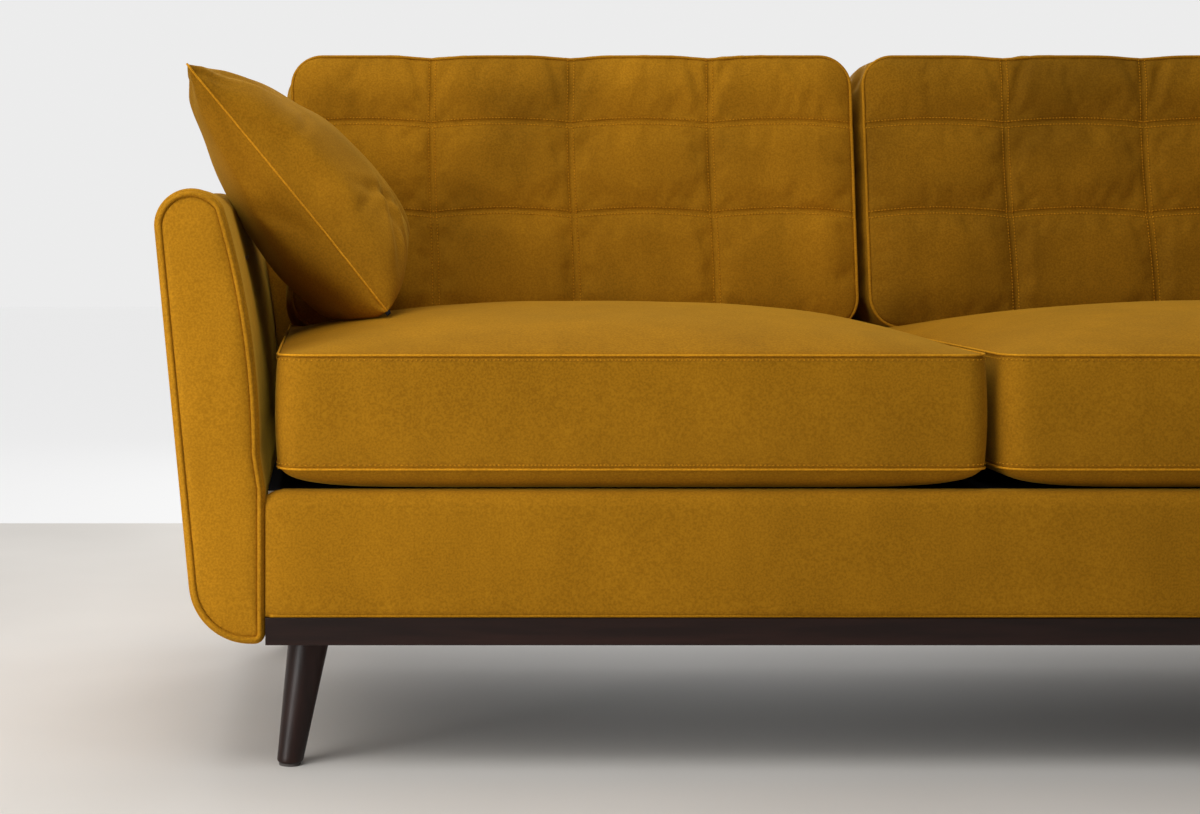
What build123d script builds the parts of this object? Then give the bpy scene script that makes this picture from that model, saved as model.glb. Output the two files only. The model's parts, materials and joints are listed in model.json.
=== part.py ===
"""Two-seat sofa: a sprung timber base on four splayed legs, padded arms, a raked back and six loose cushions.

Millimetres. X runs along the sofa, the front faces -Y, Z is up. The origin is on the floor, under the middle.
Every piece is written as its own STEP file. Pieces that sit on both sides are made by calling one function
with side = -1 for the left and side = +1 for the right.
"""

from build123d import *
from math import cos, radians, sin, sqrt, tan
import os

# ---- overall sizes ---------------------------------------------------------------------------------------
width = 1842.0  # over the widest point of both arms
depth = 890.0  # from the arm fronts to the top of the outer back
height = 831.0  # floor to the top of the back cushions

# ---- levels above the floor ------------------------------------------------------------------------------
underside = 142.0  # arms, plinth and outer back end here
plinth_height = 30.0
border_height = 137.0
arm_top = 640.0
seat_thickness = 151.0  # seat cushion at its rear, where the back cushion stands on it
seat_crown = 46.0  # rise of the seat cushion's middle above its edges
back_reveal = 56.0  # how far the back cushions stand above the fixed back

# ---- arms ------------------------------------------------------------------------------------------------
arm_spread = 122.0  # widest point of an arm, outwards from the border's end
arm_foot = 78.0  # width of the arm's square foot before its corner is rounded
arm_foot_radius = 68.0
arm_inner_radius = 12.0
arm_bulge = 6.0  # how far the inner side swells over the seat cushion's end
arm_bulge_level = 350.0
arm_bulge_rise = 38.0  # height over which the swelling starts, above the border
arm_crest = 81.0  # highest point, outwards from the border's end
arm_shoulder_angle = 31.0  # degrees above level, where the inner side meets the round top
board_inset = 34.0  # timber arm board, outwards from the border's end
board_margin = 80.0  # padding over the board's top and at its ends
board_window = 90.0  # width of timber left round the board's window
board_window_rise = 10.0  # the window's lower edge above the rails
facing_thickness = 12.0
facing_inset = 6.0
piping_width = 5.0
piping_stand = 7.0

# ---- base frame ------------------------------------------------------------------------------------------
timber = 28.0  # thickness of every rail and board
rail_drop = 19.0  # the rails' upper edges, below the border's top
border_padding = 16.0
border_lap = 14.0  # border padding and cover lap this far over the front rail
border_radius = 14.0
skin = 2.0  # thickness of every fabric cover
block_length = 100.0
block_height = 60.0
block_gap = 5.0  # between a corner block and the lining under the base
rail_gap = 2.0  # rails stop this far inside the arm covers
centre_rail_drop = 20.0  # centre rail's upper edge, below the other rails
rear_cover_gap = 5.0  # between the rear rail and the outer back's cloth
side_reach = 50.0  # how far a bolt's hole is cut to each side of the arm's inner face
plinth_depth = 40.0
plinth_edge = 1.5
front_setback = 2.0  # border, plinth and cushion fronts behind the arm fronts

# ---- seat suspension -------------------------------------------------------------------------------------
springs_per_seat = 5
wire = 3.6
spring_swing = 50.0  # side to side width of a spring's bends
spring_pitch = 46.0
spring_lead = 40.0  # straight length at each end of a spring
clip_length, clip_width, clip_height = 12.0, 14.0, 6.0
clip_slot = 4.2
wire_gap = 0.2  # between a spring and the rail it lies on
bend_share = 0.45  # radius of a spring's bends as a share of their spacing
deck_padding_thickness = 10.5
deck_gap = 1.0  # deck's rear edge behind the seat cushions
lining = 1.5  # thickness of the cloth under the base

# ---- fixed back ------------------------------------------------------------------------------------------
rake = 8.4  # degrees, lean of the back
back_thickness = 76.0
back_front_padding = 30.0
back_edge_padding = 15.0
upright_width = 45.0
web_thickness = 2.0
web_width = 50.0
webs_per_seat = 6
top_rail_height = 60.0
back_end_gap = 9.0  # fixed back's end inside the border's end
box_gap = 2.0  # between the rails and the fixed back's padded box

# ---- cushions --------------------------------------------------------------------------------------------
gap = 0.5  # between a cushion and what it rests on
arm_gap = 2.0  # between a cushion and the arm's swollen side
middle_gap = 2.5  # from the sofa's centre plane to each seat cushion
back_middle_gap = 4.0
back_end_inset = 3.0  # back cushion's outer end inside the seat cushion's
frame_gap = 2.0  # between the fixed back and the cushions
seat_front_radius = 22.0
back_cushion_thickness = 163.0
back_cushion_radius = 26.0
zip_width = 8.0
zip_margin = 120.0
scatter_edge = 378.0  # side of the filled scatter cushion
scatter_tilt = 51.0  # degrees from level
scatter_upper, scatter_lower = 88.0, 46.0  # swell above and below the line between its corners
scatter_rim = 4.0
scatter_reach = 138.0  # its lower corner, inwards from the border's end
scatter_rest = 9.0  # its lower corner above the seat cushion
scatter_back_gap = 4.0
scatter_fullest = 0.38  # share of its side, from the lower corner, where it is thickest
scatter_zip_length = 260.0
zip_overlap = 0.8  # how far a scatter cushion's zip is wider than its filling's edge

# ---- legs ------------------------------------------------------------------------------------------------
leg_top_diameter = 51.0
leg_foot_diameter = 29.0
splay_out = 9.0  # degrees, sideways
splay_along = 11.0  # degrees, to the front or to the back
leg_inset_x = 52.0  # leg's top centre, inwards from the border's end
leg_inset_y = 38.0  # leg's top centre from the rail's inner face
glide_thickness = 3.0
glide_diameter = 24.0
plate_size = 64.0
plate_thickness = 3.0
plate_corner_radius = 6.0
plate_shift = 12.0  # plate's centre, inwards from the leg's top centre
plate_screw_spacing = 46.0
plate_screw_diameter = 4.0
plate_screw_length = 25.0
screw_head_diameter = 8.0
screw_head_height = 2.0
leg_bolt_diameter = 8.0
leg_bolt_depth = 34.0  # in the leg, and again above the plate
arm_bolt_diameter = 8.0
arm_bolt_margin = 110.0
arm_bolt_drop = 50.0  # below the rails' upper edges
bolt_head_diameter = 16.0
bolt_head_height = 4.0

# ---- worked out ------------------------------------------------------------------------------------------
border_end = width / 2 - arm_spread
front = -depth / 2
border_bottom = underside + plinth_height
border_top = border_bottom + border_height
rail_top = border_top - rail_drop
rail_front = front + front_setback + skin + border_padding
rail_back = rail_front + timber
slope = tan(radians(rake))
back_top = height - back_reveal


def outer_back(level):
    """Y of the outer back's raked face at a height above the floor."""
    return depth / 2 - (back_top - level) * slope


rear_rail_back = outer_back(underside) - skin - rear_cover_gap
rear_rail_front = rear_rail_back - timber
box_start = rail_top + box_gap


def fixed_back_front(level):
    """Y of the fixed back's front face at a height above the floor."""
    return outer_back(level) - back_thickness / cos(radians(rake))


deck_end = fixed_back_front(border_top) - frame_gap
seat_bottom = border_top + gap
seat_flat = seat_bottom + seat_thickness
seat_rear = deck_end - deck_gap
seat_outer = border_end - arm_bulge - arm_gap
seat_inner = middle_gap
back_cushion_outer = seat_outer - back_end_inset
back_bottom = seat_flat + gap
cushion_rear_w = back_thickness + frame_gap
cushion_front_w = cushion_rear_w + back_cushion_thickness


def cushion_front(level):
    """Y of a back cushion's front face at a height above the floor."""
    return outer_back(level) - cushion_front_w / cos(radians(rake))


def crown_at(x):
    """Height of the seat cushion's crowned top over a point x from the sofa's middle."""
    middle = (seat_inner + seat_outer) / 2
    half = (seat_outer - seat_inner) / 2
    return seat_flat + seat_crown * (1 - ((x - middle) / half) ** 2)


def save(part, name):
    """Labels a finished piece and writes it to its own file."""
    part.label = name
    export_step(part, f"parts/{name}.step")


def side_name(side):
    return "left" if side < 0 else "right"


def block(x0, x1, y0, y1, z0, z1):
    """A rectangular piece between two corners, its upper and lower X given in either order."""
    with BuildPart() as made:
        with BuildSketch(Plane.XY.offset(z0)):
            with Locations(((x0 + x1) / 2, (y0 + y1) / 2)):
                Rectangle(abs(x1 - x0), y1 - y0)
        extrude(amount=z1 - z0)
    return made.part


# ---- arms ------------------------------------------------------------------------------------------------


def arm_outline(side, inset=0.0):
    """The arm's end view: a rounded foot, an outward-leaning outer side, a round top and a swelling inner side."""
    radius = arm_spread - arm_crest
    a = radians(arm_shoulder_angle)

    def at(outwards, level):
        return (side * (border_end + outwards), level)

    with BuildSketch() as outline:
        with BuildLine():
            bulge = at(-arm_bulge, arm_bulge_level)
            shoulder = at(arm_crest - radius * cos(a), arm_top - radius + radius * sin(a))
            widest = at(arm_spread, arm_top - radius)
            TangentArc(bulge, shoulder, tangent=(0, 1))
            ThreePointArc(shoulder, at(arm_crest, arm_top), widest)
            Line(widest, at(arm_foot, underside))
            Line(at(arm_foot, underside), at(0, underside))
            Line(at(0, underside), at(0, arm_bulge_level - arm_bulge_rise))
            Line(at(0, arm_bulge_level - arm_bulge_rise), bulge)
        make_face()
        foot_corners = outline.vertices().group_by(Axis.Y)[0].sort_by(Axis.X)
        fillet(foot_corners[0 if side < 0 else -1], radius=arm_foot_radius)
        foot_corners = outline.vertices().group_by(Axis.Y)[0].sort_by(Axis.X)
        fillet(foot_corners[-1 if side < 0 else 0], radius=arm_inner_radius)
        if inset:
            offset(amount=-inset, mode=Mode.REPLACE)
    return outline.sketch


def raked_cutter(inset=0.0):
    """Everything behind the outer back's raked face, to trim the arms' rear ends."""
    low, high = 0.0, height
    with BuildPart() as cutter:
        with BuildSketch(Plane.YZ.offset(-width)):
            with BuildLine():
                Polyline(
                    (outer_back(low) - inset, low),
                    (outer_back(high) - inset, high),
                    (depth * 2, high),
                    (depth * 2, low),
                    close=True,
                )
            make_face()
        extrude(amount=2 * width)
    return cutter.part


def arm_solid(side, start, inset=0.0):
    """The arm's outline, inset all round, carried from start back to the raked face."""
    outline = arm_outline(side, inset)
    with BuildPart() as made:
        with BuildSketch(Plane.XZ.offset(-start)):
            add(outline)
        extrude(amount=-(depth - start))
        add(raked_cutter(inset), mode=Mode.SUBTRACT)
    return made.part


body_start = front + facing_thickness


pad_start = body_start + skin
board_front = pad_start + board_margin / 2
board_rear = outer_back(underside) - skin - board_margin / 2
arm_bolt_places = [
    (board_front + arm_bolt_margin, rail_top - arm_bolt_drop),
    (board_rear - arm_bolt_margin, rail_top - arm_bolt_drop),
]


def make_arm(side):
    name = side_name(side)
    board_bottom = underside + skin
    board_top = arm_top - board_margin
    x_in = side * (border_end + board_inset)
    x_out = side * (border_end + board_inset + timber)

    with BuildPart() as board:
        add(block(x_in, x_out, board_front, board_rear, board_bottom, board_top))
        window_bottom = rail_top + board_window_rise
        add(
            block(
                x_in,
                x_out,
                board_front + board_window,
                board_rear - board_window,
                window_bottom,
                board_top - board_window / 2,
            ),
            mode=Mode.SUBTRACT,
        )
        with BuildSketch(Plane.YZ.offset(min(x_in, x_out))):
            with Locations(*arm_bolt_places):
                Circle(arm_bolt_diameter / 2)
        extrude(amount=timber, mode=Mode.SUBTRACT)
        add(arm_solid(side, pad_start, skin), mode=Mode.INTERSECT)
    save(board.part, f"arm_board_{name}")

    with BuildPart() as padding:
        add(arm_solid(side, pad_start, skin))
        add(block(x_in, x_out, board_front, board_rear, board_bottom, board_top), mode=Mode.SUBTRACT)
        with BuildSketch(Plane.YZ.offset(side * border_end - side_reach)):
            with Locations(*arm_bolt_places):
                Circle(bolt_head_diameter / 2)
        extrude(amount=2 * side_reach, mode=Mode.SUBTRACT)
    save(padding.part, f"arm_padding_{name}")

    with BuildPart() as cover:
        add(arm_solid(side, body_start))
        add(arm_solid(side, pad_start, skin), mode=Mode.SUBTRACT)
        with BuildSketch(Plane.YZ.offset(side * border_end - side_reach)):
            with Locations(*arm_bolt_places):
                Circle(arm_bolt_diameter / 2)
        extrude(amount=2 * side_reach, mode=Mode.SUBTRACT)
    save(cover.part, f"arm_cover_{name}")

    with BuildPart() as facing:
        with BuildSketch(Plane.XZ.offset(-body_start)):
            add(arm_outline(side, facing_inset))
        extrude(amount=facing_thickness)
    save(facing.part, f"arm_facing_{name}")

    with BuildPart() as piping:
        with BuildSketch(Plane.XZ.offset(-body_start)):
            add(arm_outline(side, facing_inset - piping_width))
            add(arm_outline(side, facing_inset), mode=Mode.SUBTRACT)
        extrude(amount=piping_stand)
    save(piping.part, f"arm_piping_{name}")


# ---- base frame ------------------------------------------------------------------------------------------


def leg_top_centre(side, end):
    """Centre of a leg's top, end = -1 at the front and +1 at the back."""
    x = side * (border_end - leg_inset_x)
    y = rail_back + leg_inset_y if end < 0 else rear_rail_front - leg_inset_y
    return x, y


def plate_centre(side, end):
    x, y = leg_top_centre(side, end)
    return x - side * plate_shift, y


corners = [(side, end) for side in (-1, 1) for end in (-1, 1)]
screw_points = [
    (plate_centre(*c)[0] + i * plate_screw_spacing / 2, plate_centre(*c)[1] + j * plate_screw_spacing / 2)
    for c in corners
    for i in (-1, 1)
    for j in (-1, 1)
]
bolt_points = [leg_top_centre(*c) for c in corners]
rail_end = border_end - rail_gap


def cut_round_holes(points, diameter, bottom, top):
    """Vertical round holes through the part being built."""
    with BuildSketch(Plane.XY.offset(bottom)) as holes:
        with Locations(*points):
            Circle(diameter / 2)
    extrude(holes.sketch, amount=top - bottom, mode=Mode.SUBTRACT)


def make_base():
    with BuildPart() as front_rail:
        add(block(-rail_end, rail_end, rail_front, rail_back, border_bottom, rail_top))
    save(front_rail.part, "front_rail")

    with BuildPart() as rear_rail:
        add(block(-rail_end, rail_end, rear_rail_front, rear_rail_back, border_bottom, rail_top))
    save(rear_rail.part, "rear_rail")

    for side in (-1, 1):
        with BuildPart() as side_rail:
            add(
                block(
                    side * (rail_end - timber), side * rail_end, rail_back, rear_rail_front, border_bottom, rail_top
                )
            )
            with BuildSketch(Plane.YZ.offset(side * border_end - side_reach)):
                with Locations(*arm_bolt_places):
                    Circle(arm_bolt_diameter / 2)
            extrude(amount=2 * side_reach, mode=Mode.SUBTRACT)
        save(side_rail.part, f"side_rail_{side_name(side)}")

    with BuildPart() as centre_rail:
        add(block(-timber / 2, timber / 2, rail_back, rear_rail_front, border_bottom, rail_top - centre_rail_drop))
    save(centre_rail.part, "centre_rail")

    with BuildPart() as corner_blocks:
        for side, end in corners:
            inner = side * (rail_end - timber)
            y0, y1 = (rail_back, rail_back + block_length) if end < 0 else (
                rear_rail_front - block_length,
                rear_rail_front,
            )
            add(block(inner - side * block_length, inner, y0, y1, border_bottom, border_bottom + block_height))
        cut_round_holes(screw_points, plate_screw_diameter, border_bottom, border_bottom + block_height)
        cut_round_holes(bolt_points, leg_bolt_diameter, border_bottom, border_bottom + block_height)
    save(corner_blocks.part, "corner_blocks")

    with BuildPart() as plinth:
        add(
            block(
                -border_end,
                border_end,
                front + front_setback,
                front + front_setback + plinth_depth,
                underside,
                border_bottom,
            )
        )
        fillet(plinth.edges().filter_by(Axis.X).group_by(Axis.Y)[0], radius=plinth_edge)
    save(plinth.part, "plinth_front")


def border_section(inset):
    """Section of the front border: down the front of the rail and over its top, the upper front edge round."""
    y0 = front + front_setback + inset
    top = border_top - inset
    radius = border_radius - inset
    with BuildSketch() as section:
        with BuildLine():
            Polyline((y0, border_bottom), (rail_front, border_bottom), (rail_front, rail_top))
            Polyline((rail_front, rail_top), (rail_front + border_lap, rail_top), (rail_front + border_lap, top))
            Line((rail_front + border_lap, top), (y0 + radius, top))
            RadiusArc((y0 + radius, top), (y0, top - radius), -radius)
            Line((y0, top - radius), (y0, border_bottom))
        make_face()
    return section.sketch


def make_border():
    with BuildPart() as padding:
        with BuildSketch(Plane.YZ.offset(-border_end)):
            add(border_section(skin))
        extrude(amount=2 * border_end)
    save(padding.part, "border_padding")
    with BuildPart() as cover:
        with BuildSketch(Plane.YZ.offset(-border_end)):
            add(border_section(0))
            add(border_section(skin), mode=Mode.SUBTRACT)
        extrude(amount=2 * border_end)
    save(cover.part, "border_cover")


# ---- seat suspension -------------------------------------------------------------------------------------


def spring_places():
    """X of every seat spring, evenly spread over the two seats between the rails."""
    seat_span = rail_end - timber - timber / 2
    step = seat_span / springs_per_seat
    one_seat = [timber / 2 + step * (i + 0.5) for i in range(springs_per_seat)]
    return [-x for x in reversed(one_seat)] + one_seat


def make_suspension():
    wire_level = rail_top + wire / 2 + wire_gap
    start = rail_back - clip_length / 2
    end = rear_rail_front + clip_length / 2
    bends = 2 * round((end - start - 2 * spring_lead) / (2 * spring_pitch))
    pitch = (end - start - 2 * spring_lead) / bends
    swing = spring_swing / 2
    route = [(0, start), (0, start + spring_lead)]
    for i in range(bends):
        y = start + spring_lead + i * pitch
        x = swing if i % 2 else -swing
        route += [(x, y), (x, y + pitch)]
    route += [(0, end - spring_lead), (0, end)]
    with BuildPart() as spring:
        with BuildLine(Plane.XY.offset(wire_level)) as path:
            FilletPolyline(*route, radius=min(pitch, swing) * bend_share)
        with BuildSketch(Plane(origin=path.wire() @ 0, z_dir=path.wire() % 0)):
            Circle(wire / 2)
        sweep()
    save(Compound(children=[spring.part.moved(Location((x, 0, 0))) for x in spring_places()]), "seat_springs")

    with BuildPart() as clips:
        with BuildSketch(Plane.XY.offset(rail_top)):
            with Locations(*[(x, y) for x in spring_places() for y in (start, end)]):
                Rectangle(clip_width, clip_length)
        extrude(amount=clip_height)
        with BuildSketch(Plane.XY.offset(rail_top)):
            with Locations(*[(x, y) for x in spring_places() for y in (start, end)]):
                Rectangle(clip_slot, clip_length)
        extrude(amount=clip_slot, mode=Mode.SUBTRACT)
    save(clips.part, "spring_clips")

    deck_start = rail_front + border_lap
    pad_bottom = rail_top + clip_height
    pad_top = pad_bottom + deck_padding_thickness
    with BuildPart() as pad:
        add(block(-rail_end, rail_end, deck_start, deck_end, pad_bottom, pad_top))
    save(pad.part, "deck_padding")
    with BuildPart() as deck:
        add(block(-rail_end, rail_end, deck_start, deck_end, pad_top, pad_top + skin))
    save(deck.part, "deck_cloth")

    notch = block_length + timber + block_gap
    low = border_bottom - lining
    with BuildPart() as dust:
        y0, y1 = front + front_setback + plinth_depth, rear_rail_back
        add(block(-rail_end, rail_end, y0, y1, low, border_bottom))
        for side, end in corners:
            near, far = (y0, rail_back + block_length + block_gap) if end < 0 else (
                rear_rail_front - block_length - block_gap,
                y1,
            )
            corner = block(side * (rail_end - notch), side * rail_end, near, far, low, border_bottom)
            add(corner, mode=Mode.SUBTRACT)
    save(dust.part, "dust_cover")


# ---- fixed back ------------------------------------------------------------------------------------------

back_plane = Plane(
    origin=(0, outer_back(underside), underside),
    x_dir=(1, 0, 0),
    z_dir=(0, -cos(radians(rake)), sin(radians(rake))),
)
back_length = (back_top - underside) / cos(radians(rake))
box_foot = (box_start - underside) / cos(radians(rake))
back_half = border_end - back_end_gap


def raked_block(x0, x1, v0, v1, w0, w1):
    """A block in the leaning back's own directions: v up the slope, w forward from the outer face."""
    with BuildPart() as made:
        with BuildSketch(back_plane.offset(w0)):
            with Locations(((x0 + x1) / 2, (v0 + v1) / 2)):
                Rectangle(x1 - x0, v1 - v0)
        extrude(amount=w1 - w0)
    return made.part


def make_back():
    frame_half = back_half - skin - back_edge_padding
    frame_top = back_length - skin - back_edge_padding
    frame_front = back_thickness - skin - back_front_padding - web_thickness
    rail_foot = frame_top - top_rail_height
    with BuildPart() as top_rail:
        add(raked_block(-frame_half, frame_half, rail_foot, frame_top, skin, frame_front))
    save(top_rail.part, "back_top_rail")

    with BuildPart() as bottom_rail:
        add(
            raked_block(
                -frame_half, frame_half, box_foot + skin, box_foot + skin + top_rail_height, skin, frame_front
            )
        )
    save(bottom_rail.part, "back_bottom_rail")

    with BuildPart() as uprights:
        foot = box_foot + skin + top_rail_height
        for x in (-frame_half + upright_width / 2, 0, frame_half - upright_width / 2):
            add(raked_block(x - upright_width / 2, x + upright_width / 2, foot, rail_foot, skin, frame_front))
    save(uprights.part, "back_uprights")

    with BuildPart() as webbing:
        step = (frame_half - upright_width) / webs_per_seat
        for side in (-1, 1):
            for i in range(webs_per_seat):
                x = side * (upright_width / 2 + step * (i + 0.5))
                add(
                    raked_block(
                        x - web_width / 2,
                        x + web_width / 2,
                        box_foot + skin,
                        frame_top,
                        frame_front,
                        frame_front + web_thickness,
                    )
                )
    save(webbing.part, "back_webbing")

    inner_front = back_thickness - skin
    with BuildPart() as padding:
        add(
            raked_block(
                -back_half + skin, back_half - skin, box_foot + skin, back_length - skin, skin, inner_front
            )
        )
        add(
            raked_block(-frame_half, frame_half, box_foot + skin, frame_top, skin, frame_front + web_thickness),
            mode=Mode.SUBTRACT,
        )
    save(padding.part, "back_padding")

    with BuildPart() as cover:
        add(raked_block(-back_half, back_half, box_foot, back_length, 0, back_thickness))
        add(raked_block(-back_half, back_half, 0, box_foot, 0, skin))
        add(
            raked_block(
                -back_half + skin, back_half - skin, box_foot + skin, back_length - skin, skin, inner_front
            ),
            mode=Mode.SUBTRACT,
        )
    save(cover.part, "back_cover")


# ---- cushions --------------------------------------------------------------------------------------------


def seat_solid(side, inset=0.0):
    """A seat cushion: its side view carried along X, kept where its crowned front view carried along Y is too."""
    y0 = front + front_setback + inset
    y1 = seat_rear - inset
    low = seat_bottom + inset
    flat = seat_flat - inset
    crown_end = cushion_front(seat_flat) - inset
    x0, x1 = side * (seat_inner + inset), side * (seat_outer - inset)
    r = seat_front_radius
    with BuildPart() as made:
        with BuildSketch(Plane.YZ.offset(min(x0, x1))):
            with BuildLine():
                RadiusArc((y0, low + r), (y0 + r, low), -r)
                Polyline((y0 + r, low), (y1, low), (y1, flat), (crown_end, flat))
                ThreePointArc(
                    (crown_end, flat),
                    ((crown_end + y0) / 2, flat + seat_crown),
                    (y0, flat),
                )
                Line((y0, flat), (y0, low + r))
            make_face()
        extrude(amount=abs(x1 - x0))
        with BuildSketch(Plane.XZ.offset(-y0)):
            with BuildLine():
                Polyline((x0, flat), (x0, low), (x1, low), (x1, flat))
                ThreePointArc((x1, flat), ((x0 + x1) / 2, flat + seat_crown), (x0, flat))
            make_face()
        extrude(amount=-(y1 - y0), mode=Mode.INTERSECT)
    return made.part


def back_cushion_solid(side, inset=0.0):
    """A back cushion: a raked slab with round upper edges and a level foot, carried along X."""
    c, s = cos(radians(rake)), sin(radians(rake))
    low = back_bottom + inset
    rear_w = cushion_rear_w + inset
    front_w = cushion_front_w - inset
    full_r = back_cushion_radius
    top_v = (height - underside - full_r - (cushion_front_w - full_r) * s) / c + full_r - inset
    r = full_r - inset

    def at(v, w):
        return (outer_back(underside) + v * s - w * c, underside + v * c + w * s)

    def foot(w):
        y = outer_back(low) - w / c
        return (y, low)

    middle = r * (1 - sqrt(0.5))
    x0, x1 = side * (back_middle_gap + inset), side * (back_cushion_outer - inset)
    with BuildPart() as made:
        with BuildSketch(Plane.YZ.offset(min(x0, x1))):
            with BuildLine():
                Polyline(at(top_v - r, front_w), foot(front_w), foot(rear_w), at(top_v - r, rear_w))
                ThreePointArc(
                    at(top_v - r, rear_w), at(top_v - middle, rear_w + middle), at(top_v, rear_w + r)
                )
                Line(at(top_v, rear_w + r), at(top_v, front_w - r))
                ThreePointArc(
                    at(top_v, front_w - r), at(top_v - middle, front_w - middle), at(top_v - r, front_w)
                )
            make_face()
        extrude(amount=abs(x1 - x0))
    return made.part


scatter_corner_x = border_end - scatter_reach
scatter_corner_z = crown_at(scatter_corner_x) + scatter_rest


def scatter_plane(side):
    """The scatter cushion's own plane: local x from its lower corner to its upper one, local y square to that."""
    t = radians(scatter_tilt)
    front_edge = cushion_front(scatter_corner_z) - scatter_back_gap - scatter_edge
    corner = (side * scatter_corner_x, front_edge, scatter_corner_z)
    return Plane(origin=corner, x_dir=(side * cos(t), 0, sin(t)), z_dir=(0, -1, 0))


def scatter_solid(side, inset=0.0):
    """A scatter cushion: a lens between its two arcs, kept where a second lens seen from above is too."""
    plane = scatter_plane(side)
    rim = scatter_rim - inset
    upper = side * (scatter_upper - inset)  # the plane's y points to the arm on the left and away on the right
    lower = -side * (scatter_lower - inset)
    thick_at = scatter_edge * scatter_fullest
    with BuildPart() as made:
        with BuildSketch(plane):
            with BuildLine():
                Line((inset, lower / abs(lower) * rim), (inset, upper / abs(upper) * rim))
                ThreePointArc(
                    (inset, upper / abs(upper) * rim),
                    (thick_at, upper),
                    (scatter_edge - inset, upper / abs(upper) * rim),
                )
                Line(
                    (scatter_edge - inset, upper / abs(upper) * rim),
                    (scatter_edge - inset, lower / abs(lower) * rim),
                )
                ThreePointArc(
                    (scatter_edge - inset, lower / abs(lower) * rim),
                    (thick_at, lower),
                    (inset, lower / abs(lower) * rim),
                )
            make_face()
        extrude(amount=-scatter_edge)
        along = Plane(origin=plane.origin, x_dir=(0, 1, 0), z_dir=plane.x_dir)
        normal = along.y_dir.dot(plane.y_dir)
        with BuildSketch(along):
            with BuildLine():
                up_edge = normal * (upper / abs(upper)) * rim
                low_edge = normal * (lower / abs(lower)) * rim
                middle = scatter_edge / 2
                Line((inset, low_edge), (inset, up_edge))
                ThreePointArc((inset, up_edge), (middle, normal * upper), (scatter_edge - inset, up_edge))
                Line((scatter_edge - inset, up_edge), (scatter_edge - inset, low_edge))
                ThreePointArc((scatter_edge - inset, low_edge), (middle, normal * lower), (inset, low_edge))
            make_face()
        extrude(amount=scatter_edge, mode=Mode.INTERSECT)
    return made.part


def make_cushion(outer, inner, zip_strip, cover_name, filling_name, zip_name):
    """Writes a cushion's cover, its filling and its zip, which lies in a slot in the cover."""
    with BuildPart() as cover:
        add(outer)
        add(inner, mode=Mode.SUBTRACT)
        add(zip_strip, mode=Mode.SUBTRACT)
    save(cover.part, cover_name)
    with BuildPart() as filling:
        add(inner)
    save(filling.part, filling_name)
    with BuildPart() as strip:
        add(zip_strip)
    save(strip.part, zip_name)


def make_cushions(side):
    name = side_name(side)
    middle = side * (seat_inner + seat_outer) / 2
    zip_half = (seat_outer - seat_inner) / 2 - zip_margin
    zip_level = (seat_bottom + seat_flat) / 2
    seat_zip = block(
        middle - zip_half,
        middle + zip_half,
        seat_rear - skin,
        seat_rear,
        zip_level - zip_width / 2,
        zip_level + zip_width / 2,
    )
    make_cushion(
        seat_solid(side),
        seat_solid(side, skin),
        seat_zip,
        f"seat_cushion_cover_{name}",
        f"seat_cushion_foam_{name}",
        f"seat_cushion_zip_{name}",
    )
    zip_y = outer_back(back_bottom) - (cushion_rear_w + back_cushion_thickness / 2) / cos(radians(rake))
    back_zip = block(
        middle - zip_half,
        middle + zip_half,
        zip_y - zip_width / 2,
        zip_y + zip_width / 2,
        back_bottom,
        back_bottom + skin,
    )
    make_cushion(
        back_cushion_solid(side),
        back_cushion_solid(side, skin),
        back_zip,
        f"back_cushion_cover_{name}",
        f"back_cushion_filling_{name}",
        f"back_cushion_zip_{name}",
    )
    plane = scatter_plane(side)
    with BuildPart() as strip:
        with BuildSketch(plane.offset(-(scatter_edge - scatter_zip_length) / 2)):
            with Locations((skin / 2, 0)):
                Rectangle(skin, 2 * (scatter_rim - skin) + zip_overlap)
        extrude(amount=-scatter_zip_length)
    make_cushion(
        scatter_solid(side),
        scatter_solid(side, skin),
        strip.part,
        f"scatter_cushion_cover_{name}",
        f"scatter_cushion_pad_{name}",
        f"scatter_cushion_zip_{name}",
    )


# ---- legs and fittings -----------------------------------------------------------------------------------


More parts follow.
